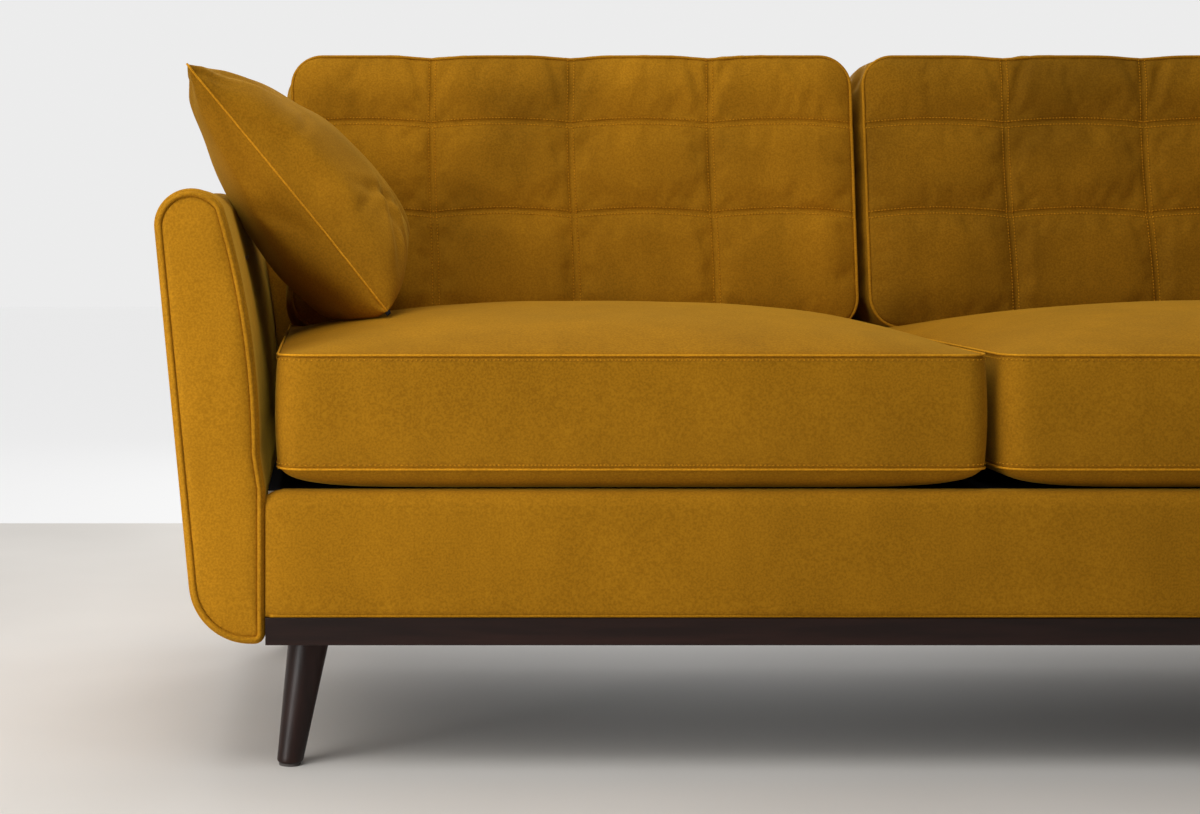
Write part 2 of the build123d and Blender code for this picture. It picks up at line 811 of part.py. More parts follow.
def make_legs():
    top = border_bottom - plate_thickness
    for side, end in corners:
        x, y = leg_top_centre(side, end)
        run = top - glide_thickness
        foot_x = x + side * run * tan(radians(splay_out))
        foot_y = y + end * run * tan(radians(splay_along))
        with BuildPart() as leg:
            with BuildSketch(Plane.XY.offset(glide_thickness)):
                with Locations((foot_x, foot_y)):
                    Circle(leg_foot_diameter / 2)
            with BuildSketch(Plane.XY.offset(top)):
                with Locations((x, y)):
                    Circle(leg_top_diameter / 2)
            loft()
            cut_round_holes([(x, y)], leg_bolt_diameter, top - leg_bolt_depth, top)
        end_name = "front" if end < 0 else "rear"
        save(leg.part, f"leg_{end_name}_{side_name(side)}")

    feet = []
    for side, end in corners:
        x, y = leg_top_centre(side, end)
        run = top - glide_thickness
        feet.append((x + side * run * tan(radians(splay_out)), y + end * run * tan(radians(splay_along))))
    with BuildPart() as glides:
        with BuildSketch():
            with Locations(*feet):
                Circle(glide_diameter / 2)
        extrude(amount=glide_thickness)
    save(glides.part, "felt_glides")

    with BuildPart() as plates:
        with BuildSketch(Plane.XY.offset(top)):
            with Locations(*[plate_centre(*c) for c in corners]):
                RectangleRounded(plate_size, plate_size, plate_corner_radius)
        extrude(amount=plate_thickness)
        cut_round_holes(screw_points, plate_screw_diameter, top, border_bottom)
        cut_round_holes(screw_points, screw_head_diameter, top, top + screw_head_height)
        cut_round_holes(bolt_points, leg_bolt_diameter, top, border_bottom)
    save(plates.part, "leg_plates")

    with BuildPart() as screws:
        with BuildSketch(Plane.XY.offset(top)):
            with Locations(*screw_points):
                Circle(plate_screw_diameter / 2)
        extrude(amount=plate_screw_length)
        with BuildSketch(Plane.XY.offset(top)):
            with Locations(*screw_points):
                Circle(screw_head_diameter / 2)
        extrude(amount=screw_head_height)
    save(screws.part, "leg_plate_screws")

    with BuildPart() as bolts:
        with BuildSketch(Plane.XY.offset(top - leg_bolt_depth)):
            with Locations(*bolt_points):
                Circle(leg_bolt_diameter / 2)
        extrude(amount=2 * leg_bolt_depth + plate_thickness)
    save(bolts.part, "leg_bolts")


def make_arm_bolts():
    """Bolts from inside each side rail, through the arm's cover and padding, into the arm board."""
    inner = rail_end - timber
    outer = border_end + board_inset + timber
    solids = []
    for side in (-1, 1):
        for y, z in arm_bolt_places:
            with BuildPart() as bolt:
                with BuildSketch(Plane(origin=(side * inner, y, z), z_dir=(side, 0, 0))):
                    Circle(arm_bolt_diameter / 2)
                extrude(amount=outer - inner)
                with BuildSketch(Plane(origin=(side * inner, y, z), z_dir=(-side, 0, 0))):
                    Circle(bolt_head_diameter / 2)
                extrude(amount=bolt_head_height)
            solids.append(bolt.part)
    save(Compound(children=solids), "arm_bolts")


os.makedirs("parts", exist_ok=True)
for arm_side in (-1, 1):
    make_arm(arm_side)
make_base()
make_border()
make_suspension()
make_back()
for cushion_side in (-1, 1):
    make_cushions(cushion_side)
make_legs()
make_arm_bolts()
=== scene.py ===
"""The looks of a two-seat velvet sofa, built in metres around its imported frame.

X runs along the sofa, the front faces -Y, Z is up. Soft pieces are surfaces worked out as whole numpy arrays:
rings of points carried along a path, or a boxed cushion's lattice of two panels and the strip between them.
Cushion covers are then filled by Blender's Cloth with their seams or corners held. side is -1 on the left and
1 on the right.
"""

import json
from math import atan2, cos, pi, radians, sin, tan

import bpy
import numpy as np
from mathutils.bvhtree import BVHTree
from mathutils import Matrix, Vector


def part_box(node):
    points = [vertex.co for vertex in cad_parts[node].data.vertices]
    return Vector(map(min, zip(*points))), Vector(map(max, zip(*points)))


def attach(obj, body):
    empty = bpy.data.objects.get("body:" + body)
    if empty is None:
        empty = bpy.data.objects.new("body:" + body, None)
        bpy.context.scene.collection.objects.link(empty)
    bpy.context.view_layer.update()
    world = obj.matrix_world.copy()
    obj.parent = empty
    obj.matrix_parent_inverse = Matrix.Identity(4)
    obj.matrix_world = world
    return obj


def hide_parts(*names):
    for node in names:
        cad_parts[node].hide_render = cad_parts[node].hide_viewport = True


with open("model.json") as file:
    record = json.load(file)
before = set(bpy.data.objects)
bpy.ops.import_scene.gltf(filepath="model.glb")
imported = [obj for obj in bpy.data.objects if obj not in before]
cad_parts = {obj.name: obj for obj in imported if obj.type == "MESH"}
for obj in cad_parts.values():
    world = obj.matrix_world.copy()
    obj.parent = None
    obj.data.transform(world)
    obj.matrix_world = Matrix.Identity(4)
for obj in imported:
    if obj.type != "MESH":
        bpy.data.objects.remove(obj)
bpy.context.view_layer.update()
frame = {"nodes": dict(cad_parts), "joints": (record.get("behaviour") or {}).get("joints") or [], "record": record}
nodes = frame["nodes"]

# ---- places read from the frame --------------------------------------------------------------------------
arm_low, arm_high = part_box("arm_cover_left")
border_low, border_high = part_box("border_cover")
facing_low, facing_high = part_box("arm_facing_left")
deck_low, deck_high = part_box("deck_cloth")
dust_low, dust_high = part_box("dust_cover")
seat_low, seat_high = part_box("seat_cushion_cover_right")
cushion_low, cushion_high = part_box("back_cushion_cover_right")
back_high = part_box("back_cover")[1]
box_low, box_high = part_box("back_padding")
scatter_low, scatter_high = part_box("scatter_cushion_cover_right")

front = facing_low.y
underside = arm_low.z
border_end = border_high.x
arm_top = arm_high.z
lean_axis = next(j["axis"] for j in frame["joints"] if j["name"] == "back_lift_left")
lean = atan2(lean_axis[1], lean_axis[2])


# ---- small tools -----------------------------------------------------------------------------------------


def soft_noise(points, size, seed):
    """Smooth variation between about -1 and 1: six sines in drawn directions, near one length in metres."""
    draw = np.random.default_rng(seed)
    total = np.zeros(len(points))
    for _ in range(6):
        direction = draw.normal(size=3)
        direction /= np.linalg.norm(direction)
        length = size * draw.uniform(0.7, 1.6)
        total += np.sin(points @ direction * (2 * pi / length) + draw.uniform(0, 2 * pi))
    return total / 3


def make_object(name, points, faces, smooth=True):
    """A mesh object at the origin from an array of points and lists of corner numbers."""
    mesh = bpy.data.meshes.new(name)
    mesh.from_pydata(np.asarray(points, float).tolist(), [], [list(f) for f in faces])
    mesh.update()
    mesh.polygons.foreach_set("use_smooth", np.full(len(mesh.polygons), smooth))
    thing = bpy.data.objects.new(name, mesh)
    bpy.context.scene.collection.objects.link(thing)
    return thing


def lattice_faces(numbers, wrap=False):
    """Quads between neighbours in a two-way table of point numbers; wrap joins its last column on."""
    table = np.concatenate([numbers, numbers[:, :1]], axis=1) if wrap else numbers
    a, b = table[:-1, :-1], table[:-1, 1:]
    c, d = table[1:, 1:], table[1:, :-1]
    return np.stack([a, b, c, d], axis=-1).reshape(-1, 4)


def skin_rings(name, rings, close_ends=True, closed_path=False):
    """A skin over rings of points, given as (ring, point, xyz). Open ends get a pole at the ring's middle."""
    count, around = rings.shape[:2]
    numbers = np.arange(count * around).reshape(count, around)
    if closed_path:
        numbers = np.concatenate([numbers, numbers[:1]])
    faces = lattice_faces(numbers, wrap=True).tolist()
    points = rings.reshape(-1, 3)
    if close_ends and not closed_path:
        poles = np.stack([rings[0].mean(axis=0), rings[-1].mean(axis=0)])
        first, last = len(points), len(points) + 1
        points = np.concatenate([points, poles])
        ring = numbers[0]
        faces += np.stack([np.roll(ring, -1), ring, np.full(around, first)], axis=1).tolist()
        ring = numbers[-1]
        faces += np.stack([ring, np.roll(ring, -1), np.full(around, last)], axis=1).tolist()
    thing = make_object(name, points, faces)
    face_outwards(thing)
    return thing


def face_outwards(thing):
    """Turns a closed mesh right side out, by the sign of its volume."""
    mesh = thing.data
    mesh.calc_loop_triangles()
    corners = np.empty(len(mesh.loop_triangles) * 3, int)
    mesh.loop_triangles.foreach_get("vertices", corners)
    points = read_points(thing)[corners].reshape(-1, 3, 3)
    volume = np.einsum("ij,ij->i", points[:, 0], np.cross(points[:, 1], points[:, 2])).sum()
    if volume < 0:
        mesh.flip_normals()


def read_points(thing):
    """A mesh's points as an array of rows x, y, z."""
    points = np.empty(len(thing.data.vertices) * 3)
    thing.data.vertices.foreach_get("co", points)
    return points.reshape(-1, 3)


def write_points(thing, points):
    """Puts an array of points into a mesh."""
    thing.data.vertices.foreach_set("co", np.asarray(points, float).ravel())
    thing.data.update()


def shaped_points(thing):
    """A piece's points with its modifiers' effect."""
    shaped = thing.evaluated_get(bpy.context.evaluated_depsgraph_get()).to_mesh()
    points = np.empty(len(shaped.vertices) * 3)
    shaped.vertices.foreach_get("co", points)
    return points.reshape(-1, 3)


def resample(points, count, closed=True):
    """The same line with its points evenly spaced along it."""
    if closed:
        points = np.concatenate([points, points[:1]])
    steps = np.linalg.norm(np.diff(points, axis=0), axis=1)
    along = np.concatenate([[0], np.cumsum(steps)])
    wanted = np.linspace(0, along[-1], count + 1)[:-1] if closed else np.linspace(0, along[-1], count)
    return np.stack([np.interp(wanted, along, points[:, i]) for i in range(points.shape[1])], axis=1)


def arc(centre, radius, start, end, count):
    """Points on an arc in a plane, angles in degrees."""
    angle = np.radians(np.linspace(start, end, count))
    return np.stack([centre[0] + radius * np.cos(angle), centre[1] + radius * np.sin(angle)], axis=1)


def tube(name, path, radius, closed=False, around=10):
    """A round cord of one radius along a line of points: circles square to the line, joined in order."""
    ahead = np.roll(path, -1, axis=0) - np.roll(path, 1, axis=0) if closed else np.gradient(path, axis=0)
    ahead /= np.linalg.norm(ahead, axis=1, keepdims=True)
    spread = path - path.mean(axis=0)
    normal = np.linalg.svd(spread, full_matrices=False)[2][2]
    across = np.cross(ahead, normal)
    across /= np.linalg.norm(across, axis=1, keepdims=True)
    up = np.cross(across, ahead)
    angle = np.linspace(0, 2 * pi, around, endpoint=False)
    rings = (
        path[:, None]
        + radius * np.cos(angle)[None, :, None] * across[:, None]
        + radius * np.sin(angle)[None, :, None] * up[:, None]
    )
    return skin_rings(name, rings, closed_path=closed)


def stitch_row(name, lines, pitch=0.0050, length=0.0038, radius=0.00075):
    """Rows of stitches: along each (points, normals) line, a slim eight-sided bead lies at every pitch."""
    all_points, all_faces, start = [], [], 0
    shape = np.array([[0, 1, 2], [0, 2, 3], [0, 3, 4], [0, 4, 1], [5, 2, 1], [5, 3, 2], [5, 4, 3], [5, 1, 4]])
    for points, normals in lines:
        reach = np.linalg.norm(np.diff(points, axis=0), axis=1).sum()
        count = max(2, int(reach / pitch))
        both = resample(np.concatenate([points, normals], axis=1), 2 * count + 1, closed=False)
        middle, normal = both[1::2, :3], both[1::2, 3:]
        ahead = both[2::2, :3] - both[0:-2:2, :3]
        ahead /= np.linalg.norm(ahead, axis=1, keepdims=True)
        normal = normal / np.linalg.norm(normal, axis=1, keepdims=True)
        across = np.cross(ahead, normal)
        corners = np.stack(
            [
                middle - ahead * length / 2,
                middle + across * radius,
                middle + normal * radius,
                middle - across * radius,
                middle - normal * radius,
                middle + ahead * length / 2,
            ],
            axis=1,
        )
        all_points.append(corners.reshape(-1, 3))
        offsets = start + 6 * np.arange(len(middle))
        all_faces.append((shape[None] + offsets[:, None, None]).reshape(-1, 3))
        start += 6 * len(middle)
    return make_object(name, np.concatenate(all_points), np.concatenate(all_faces).tolist())


def crease(u, v, start, end, deep, wide):
    """Depth of a fold along a line on a panel: a groove with a softer ridge beside it, fading at both ends.

    Both are bell curves of the distance from the line, times the sine of the way along it to the 0.6.
    """
    start, end = np.array(start), np.array(end)
    run = end - start
    share = ((u - start[0]) * run[0] + (v - start[1]) * run[1]) / (run @ run)
    away = np.hypot(u - start[0] - share * run[0], v - start[1] - share * run[1]) / wide
    fade = np.clip(np.sin(pi * np.clip(share, -0.1, 1.1)), 0, 1) ** 0.6
    return deep * fade * (0.55 * np.exp(-((away - 1.9) ** 2)) - np.exp(-(away**2)))


def make_zip(name, path, normal, body, node):
    """A zip: a flat tape with rounded edges along a path, a row of teeth on it and a tab at its start."""
    ahead = np.gradient(path, axis=0)
    ahead /= np.linalg.norm(ahead, axis=1, keepdims=True)
    across = np.cross(ahead, normal)
    angle = np.linspace(0, 2 * pi, 12, endpoint=False)
    flat = np.sign(np.cos(angle)) * np.abs(np.cos(angle)) ** 0.5
    rings = (path[:, None] + 0.0040 * flat[None, :, None] * across[:, None]
             + 0.0006 * np.sin(angle)[None, :, None] * normal)
    tape = skin_rings(f"{name}_tape", rings)
    finish_piece(tape, body, zip_plastic, "zip", node)
    line = (path + np.array(normal) * 0.0007, np.broadcast_to(normal, path.shape))
    teeth = stitch_row(f"{name}_teeth", [line], 0.0022, 0.0013, 0.0011)
    finish_piece(teeth, body, fittings_dark, "zip")
    tab_path = path[0] + np.linspace(0.0, 0.016, 8)[:, None] * (-ahead[0] * 0.5 + np.array(normal) * 0.25)
    width = 0.0026 + 0.0008 * np.sin(np.linspace(0, pi, 8))
    rings = (tab_path[:, None] + width[:, None, None] * flat[None, :, None] * across[:1, None]
             + 0.0007 * np.sin(angle)[None, :, None] * normal)
    tab = skin_rings(f"{name}_tab", rings)
    finish_piece(tab, body, fittings_dark, "zip")


def subdivide(thing, levels=1):
    """Smooths a piece by Subdivision Surface."""
    smoother = thing.modifiers.new("smooth", "SUBSURF")
    smoother.levels = smoother.render_levels = levels
    return thing


def mirrored(thing, name):
    """The same piece on the other side of the sofa's middle, right side out."""
    mesh = thing.data.copy()
    mesh.name = name
    other = bpy.data.objects.new(name, mesh)
    bpy.context.scene.collection.objects.link(other)
    write_points(other, read_points(thing) * (-1, 1, 1))
    mesh.flip_normals()
    for modifier in thing.modifiers:
        subdivide(other, modifier.levels)
    return other


def finish_piece(thing, body, material, slot, *replaced):
    """Gives a piece its body, its finish and the frame nodes that it stands for."""
    thing.data.materials.clear()
    thing.data.materials.append(material)
    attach(thing, body)
    if replaced:
        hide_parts(*replaced)
    return thing


def fill_cover(thing, held, pressure, shrink, cap, frames=20):
    """Fills a closed cover by Cloth: held points stay, the rest swells, and no point moves more than cap."""
    start = read_points(thing)
    group = thing.vertex_groups.new(name="held")
    group.add([int(i) for i in held], 1.0, "REPLACE")
    cloth = thing.modifiers.new("fill", "CLOTH")
    settings = cloth.settings
    settings.quality = 6
    settings.mass = 0.3
    settings.tension_stiffness = settings.compression_stiffness = 20
    settings.shear_stiffness = 8
    settings.bending_stiffness = 0.35
    settings.use_pressure = True
    settings.uniform_pressure_force = pressure
    settings.shrink_min = shrink
    settings.vertex_group_mass = "held"
    settings.effector_weights.gravity = 0
    cloth.collision_settings.use_collision = False
    cloth.point_cache.frame_start = 1
    cloth.point_cache.frame_end = frames
    for number in range(1, frames + 1):
        bpy.context.scene.frame_set(number)
    end = shaped_points(thing)
    thing.modifiers.remove(cloth)
    thing.vertex_groups.remove(group)
    bpy.context.scene.frame_set(1)
    move = end - start
    size = np.linalg.norm(move, axis=1, keepdims=True)
    write_points(thing, start + move * np.minimum(1, cap / np.maximum(size, 1e-9)))


# ---- finishes --------------------------------------------------------------------------------------------


class Finish:
    """A material's shader with short ways to add and join its nodes."""

    def __init__(self, name, colour, roughness):
        self.material = bpy.data.materials.new(name)
        self.material.use_nodes = True
        self.tree = self.material.node_tree
        self.shader = self.tree.nodes["Principled BSDF"]
        self.shader.inputs["Base Color"].default_value = (*colour, 1)
        self.shader.inputs["Roughness"].default_value = roughness
        self.place = self.add("ShaderNodeTexCoord").outputs["Object"]

    def add(self, kind, **values):
        """A node of a kind, with its sockets joined or set and its settings given by name."""
        node = self.tree.nodes.new(kind)
        for key, value in values.items():
            if isinstance(value, bpy.types.NodeSocket):
                self.tree.links.new(value, node.inputs[key.replace("_", " ")])
            elif key.replace("_", " ") in node.inputs:
                node.inputs[key.replace("_", " ")].default_value = value
            else:
                setattr(node, key, value)
        return node

    def noise(self, scale, detail=2.0, stretch=(1, 1, 1)):
        """Noise on the piece's own place, stretched along its axes."""
        spread = self.add("ShaderNodeMapping", Vector=self.place, Scale=stretch)
        made = self.add("ShaderNodeTexNoise", Vector=spread.outputs["Vector"], Scale=scale, Detail=detail)
        return made.outputs["Fac"]

    def ramp(self, value, *stops):
        """Colours by value, from stops of (position, colour)."""
        node = self.add("ShaderNodeValToRGB", Fac=value)
        while len(node.color_ramp.elements) < len(stops):
            node.color_ramp.elements.new(0.5)
        for element, (position, colour) in zip(node.color_ramp.elements, stops):
            element.position = position
            element.color = (*colour, 1)
        return node.outputs["Color"]

    def mix(self, share, first, second, kind="MIX"):
        """Two colours mixed by a share; each may be a socket or a plain value."""
        node = self.add("ShaderNodeMix", data_type="RGBA", blend_type=kind)
        for socket, value in ((node.inputs[0], share), (node.inputs[6], first), (node.inputs[7], second)):
            if isinstance(value, bpy.types.NodeSocket):
                self.tree.links.new(value, socket)
            else:
                socket.default_value = value if isinstance(value, float) else (*value, 1)
        return node.outputs[2]

    def range(self, value, low, high):
        """A value from 0 to 1 spread from low to high."""
        return self.add("ShaderNodeMapRange", Value=value, To_Min=low, To_Max=high).outputs["Result"]

    def bumps(self, *layers):
        """Bump layers of (height socket, strength, distance in metres), one over the other."""
        below = None
        for height, strength, distance in layers:
            bump = self.add("ShaderNodeBump", Height=height, Strength=strength, Distance=distance)
            if below:
                self.tree.links.new(below, bump.inputs["Normal"])
            below = bump.outputs["Normal"]
        self.tree.links.new(below, self.shader.inputs["Normal"])

    def link(self, socket, name):
        """Joins a socket to one of the shader's."""
        self.tree.links.new(socket, self.shader.inputs[name])


def scaled(colour, factor):
    """A colour made darker or brighter."""
    return tuple(min(1.0, c * factor) for c in colour)


velvet_colour = (0.46, 0.205, 0.0095)


def make_velvet(name, colour, depth=1.0):
    """Short-pile velvet: brushed patches a hand wide, strokes, fine fibre grain, pile and a soft sheen."""
    v = Finish(name, colour, 0.85)
    patches = v.noise(7.0, 3.0, (1, 1, 0.8))
    strokes = v.noise(26.0, 4.0, (1.0, 1.0, 0.45))
    grain = v.noise(420.0, 3.0)
    pile = v.noise(2200.0, 1.0)
    brushed = v.ramp(
        patches,
        (0.30, scaled(colour, 1 - 0.26 * depth)),
        (0.52, colour),
        (0.74, scaled(colour, 1 + 0.16 * depth)),
    )
    stroke_tone = v.ramp(strokes, (0.35, (0.80, 0.79, 0.76)), (0.68, (1.0, 1.0, 1.0)))
    stroked = v.mix(0.5, brushed, stroke_tone, "MULTIPLY")
    grain_tone = v.ramp(grain, (0.36, (0.60, 0.57, 0.50)), (0.64, (1.08, 1.08, 1.08)))
    fibred = v.mix(0.55, stroked, grain_tone, "MULTIPLY")
    v.link(fibred, "Base Color")
    v.link(v.range(patches, 0.78, 0.95), "Roughness")
    v.shader.inputs["Specular IOR Level"].default_value = 0.05
    v.shader.inputs["Sheen Weight"].default_value = 0.30
    v.shader.inputs["Sheen Roughness"].default_value = 0.36
    v.shader.inputs["Sheen Tint"].default_value = (1.0, 0.62, 0.07, 1)
    v.bumps((strokes, 0.25, 0.0012), (grain, 0.35, 0.0005), (pile, 0.30, 0.0002))
    return v.material


def make_wood(name, colour, stretch, gloss=0.38):
    """Stained timber: long streaks along the piece, fine open pores and a worn satin polish."""
    w = Finish(name, colour, gloss)
    streaks = w.noise(9.0, 5.0, stretch)
    fine = w.noise(60.0, 3.0, stretch)
    pores = w.noise(160.0, 2.0, stretch)
    base = w.ramp(streaks, (0.30, scaled(colour, 0.5)), (0.55, colour), (0.78, scaled(colour, 1.9)))
    grained = w.mix(0.7, base, w.ramp(fine, (0.38, (0.45, 0.42, 0.40)), (0.60, (1, 1, 1))), "MULTIPLY")
    w.link(grained, "Base Color")
    w.link(w.range(streaks, gloss - 0.06, gloss + 0.14), "Roughness")
    w.shader.inputs["Specular IOR Level"].default_value = 0.28
    w.bumps((fine, 0.25, 0.0004), (pores, 0.35, 0.0003))
    return w.material


def make_cloth(name, colour, threads=1400.0):
    """Plain woven cloth: two crossed sets of threads raised in turn, and faint uneven dye."""
    c = Finish(name, colour, 0.9)
    warp = c.add("ShaderNodeTexWave", Vector=c.place, Scale=threads / 6, bands_direction="X").outputs["Fac"]
    weft = c.add("ShaderNodeTexWave", Vector=c.place, Scale=threads / 6, bands_direction="Y").outputs["Fac"]
    weave = c.mix(0.5, warp, weft)
    dye = c.noise(14.0, 3.0)
    c.link(c.ramp(dye, (0.35, scaled(colour, 0.75)), (0.70, scaled(colour, 1.2))), "Base Color")
    c.link(c.range(dye, 0.82, 0.95), "Roughness")
    c.shader.inputs["Specular IOR Level"].default_value = 0.1
    c.bumps((weave, 0.4, 0.0004))
    return c.material


def make_foam(name, colour):
    """Cut foam or padding: small open cells, slightly yellowed in patches."""
    f = Finish(name, colour, 0.95)
    cells = f.noise(420.0, 2.0)
    age = f.noise(8.0, 2.0)
    aged = f.ramp(age, (0.3, scaled(colour, 0.86)), (0.7, colour))
    cell_tone = f.ramp(cells, (0.4, (0.75, 0.74, 0.70)), (0.6, (1, 1, 1)))
    f.link(f.mix(0.4, aged, cell_tone, "MULTIPLY"), "Base Color")
    f.bumps((cells, 0.5, 0.0008))
    return f.material


def make_metal(name, colour, roughness):
    """Drawn or pressed steel: fine lengthwise scratches and a dull bloom in patches."""
    m = Finish(name, colour, roughness)
    scratches = m.noise(300.0, 2.0, (1, 8, 1))
    bloom = m.noise(25.0, 3.0)
    m.shader.inputs["Metallic"].default_value = 1.0
    m.link(m.ramp(bloom, (0.35, scaled(colour, 0.7)), (0.65, colour)), "Base Color")
    m.link(m.range(scratches, roughness - 0.08, roughness + 0.15), "Roughness")
    m.bumps((scratches, 0.15, 0.0002))
    return m.material


velvet = make_velvet("mustard_velvet", velvet_colour, 0.35)
# The seat cushions and the front border get the same velvet at 0.84 of its colour: painted shade, darker than the
# arms' velvet.
velvet_seat_painted_shade = make_velvet("mustard_velvet_seat_and_border_painted_shade", scaled(velvet_colour, 0.84), 0.35)
# The back cushions' velvets are darkened copies of the same cloth: painted shade, 0.84 of the colour on the left
# and 0.62 on the right, where the shade is deeper.
velvet_backs_painted_shade = {
    "left": make_velvet("mustard_velvet_back_cushion_left_painted_shade", scaled(velvet_colour, 0.84), 1.0),
    "right": make_velvet("mustard_velvet_back_cushion_right_painted_deep_shade", scaled(velvet_colour, 0.62), 1.0),
}
# The scatter cushions get the same velvet at 0.80 of its colour: painted shade.
velvet_scatter_painted_shade = make_velvet("mustard_velvet_scatter_cushions_painted_shade", scaled(velvet_colour, 0.80), 1.0)
piping_velvet = make_velvet("mustard_velvet_piping", velvet_colour, 0.4)
# Thread at 1.5 times the velvet's colour: the stitches' own lighter thread, and a painted highlight where it forms
# the bright cords along the seams.
thread_and_seam_highlight = make_velvet("sewing_thread_and_painted_seam_highlight", scaled(velvet_colour, 1.5), 0.2)
dark_wood_along = make_wood("dark_wood_plinth", (0.019, 0.0062, 0.0040), (0.12, 1.6, 1.6))
dark_wood_upright = make_wood("dark_wood_leg", (0.026, 0.0085, 0.0055), (1.6, 1.6, 0.12))
timber = make_wood("frame_timber", (0.52, 0.36, 0.19), (0.15, 1.2, 1.2), 0.7)
foam = make_foam("foam", (0.80, 0.76, 0.62))
filling = make_foam("fibre_filling", (0.82, 0.82, 0.80))
spring_steel = make_metal("spring_steel", (0.42, 0.42, 0.43), 0.36)
fittings_steel = make_metal("zinc_plated_steel", (0.55, 0.55, 0.56), 0.32)
black_cloth = make_cloth("black_lining_cloth", (0.010, 0.010, 0.011))
webbing_cloth = make_cloth("webbing", (0.10, 0.085, 0.07), 900.0)
fittings_dark = make_cloth("black_zip_teeth", (0.008, 0.008, 0.009), 2600.0)
felt = make_foam("felt", (0.09, 0.08, 0.075))
zip_plastic = make_cloth("zip_tape", (0.012, 0.012, 0.013), 2200.0)


# ---- camera, room and lights -----------------------------------------------------------------------------
camera_x = -0.7207
camera_height = 0.608
camera_distance = 2.385
floor_reach = 12.0
far_line = 1.53  # beyond this Y the floor glows and stands for a pale wall
white = (1, 1, 1)


def make_camera():
    """A level camera square to the sofa's front, left of its middle, with a shifted frame."""
    camera = bpy.data.objects.new("camera", bpy.data.cameras.new("camera"))
    bpy.context.scene.collection.objects.link(camera)
    camera.location = (camera_x, front - camera_distance, camera_height)
    camera.rotation_euler = (radians(90), 0, 0)
    camera.data.lens = 65.8
    camera.data.sensor_width = 36.0
    camera.data.shift_x = 0.219
    camera.data.shift_y = -0.158
    camera.data.clip_end = 60
    bpy.context.scene.camera = camera


def make_floor():
    """A wide pale floor, faintly uneven in tone, and brighter beyond the far line."""
    x, y = np.meshgrid(np.linspace(-floor_reach, floor_reach, 9), np.linspace(-floor_reach, floor_reach, 9))
    floor_points = np.stack([x, y, np.zeros_like(x)], axis=-1).reshape(-1, 3)
    numbers = np.arange(x.size).reshape(x.shape)
    floor = make_object("floor", floor_points, lattice_faces(numbers).tolist(), smooth=False)
    paint = Finish("pale_floor", (0.68, 0.65, 0.61), 0.75)
    haze = paint.noise(1.5, 3.0)
    along = paint.add("ShaderNodeSeparateXYZ", Vector=paint.place).outputs["Y"]
    beyond = paint.add("ShaderNodeMath", operation="GREATER_THAN")
    paint.tree.links.new(along, beyond.inputs[0])
    beyond.inputs[1].default_value = far_line
    floor_colour = paint.ramp(haze, (0.35, (0.64, 0.615, 0.58)), (0.7, (0.70, 0.675, 0.64)))
    paint.link(paint.mix(beyond.outputs[0], floor_colour, (0.15, 0.15, 0.15)), "Base Color")
    paint.shader.inputs["Emission Color"].default_value = (1, 1, 1, 1)
    paint.link(paint.range(beyond.outputs[0], 0.0, 0.72), "Emission Strength")
    paint.shader.inputs["Specular IOR Level"].default_value = 0.2
    floor.data.materials.append(paint.material)


def add_light(name, kind, place, target, power, colour):
    """A light that faces its target and that the camera doesn't see. It gives back the light's settings."""
    light = bpy.data.objects.new(name, bpy.data.lights.new(name, kind))
    bpy.context.scene.collection.objects.link(light)
    light.location = place
    direction = np.array(target, float) - np.array(place, float)
    level = np.linalg.norm(direction[:2])
    light.rotation_euler = (pi / 2 + atan2(direction[2], level), 0, atan2(-direction[0], direction[1]))
    light.data.energy = power
    light.data.color = colour
    light.visible_camera = False
    return light.data


def make_lights():
    """A window's light from the front left, soft lights in front, behind and above, and a narrow low one."""
    for name, place, target, size, power, colour in (
        ("window_light", (-2.35, -1.75, 1.35), (-0.6, 0, 0.35), 1.7, 37, (1.0, 0.985, 0.96)),
        ("front_ceiling_light", (-1.1, -1.5, 2.9), (-0.5, 0.2, 0.4), 1.6, 34, white),
        ("rear_fill_light", (0.2, 2.7, 1.0), (0, 0.2, 0.0), 1.2, 34, white),
        ("top_light", (-0.4, 0.9, 3.3), (-0.3, 0.5, 0.4), 2.4, 30, white),
    ):
        add_light(name, "AREA", place, target, power, colour).size = size
    low = add_light("low_side_fill", "SPOT", (-2.6, -1.9, 0.30), (-0.3, 0.3, 0.05), 62, white)
    low.shadow_soft_size = 0.22
    low.spot_size = radians(34)
    low.spot_blend = 1.0


def make_surroundings():
    """A white surrounding that is dim in front of the sofa and bright behind it, by the direction's Y."""
    world = bpy.data.worlds.new("room")
    world.use_nodes = True
    tree = world.node_tree
    toward = tree.nodes.new("ShaderNodeTexCoord").outputs["Generated"]
    parts = tree.nodes.new("ShaderNodeSeparateXYZ")
    rise = tree.nodes.new("ShaderNodeMapRange")
    for socket, value in (("From Min", 0.25), ("From Max", 0.80), ("To Min", 0.22), ("To Max", 0.84)):
        rise.inputs[socket].default_value = value
    tree.links.new(toward, parts.inputs[0])
    tree.links.new(parts.outputs["Y"], rise.inputs["Value"])
    tree.nodes["Background"].inputs["Color"].default_value = (1, 1, 1, 1)
    tree.links.new(rise.outputs["Result"], tree.nodes["Background"].inputs["Strength"])
    bpy.context.scene.world = world
    bpy.context.scene.view_settings.view_transform = "Standard"


# ---- the leaning back's directions -----------------------------------------------------------------------
back_width = box_high.x + 0.002
slope = tan(lean)
top_of_back = back_high.z
outer_top_y = back_high.y


def outer_back(level):
    """Y of the outer back's leaning face at heights above the floor."""
    return outer_top_y - (top_of_back - level) * slope


up_slope = np.array([0, sin(lean), cos(lean)])
forward = np.array([0, -cos(lean), sin(lean)])
along_x = np.array([1.0, 0, 0])


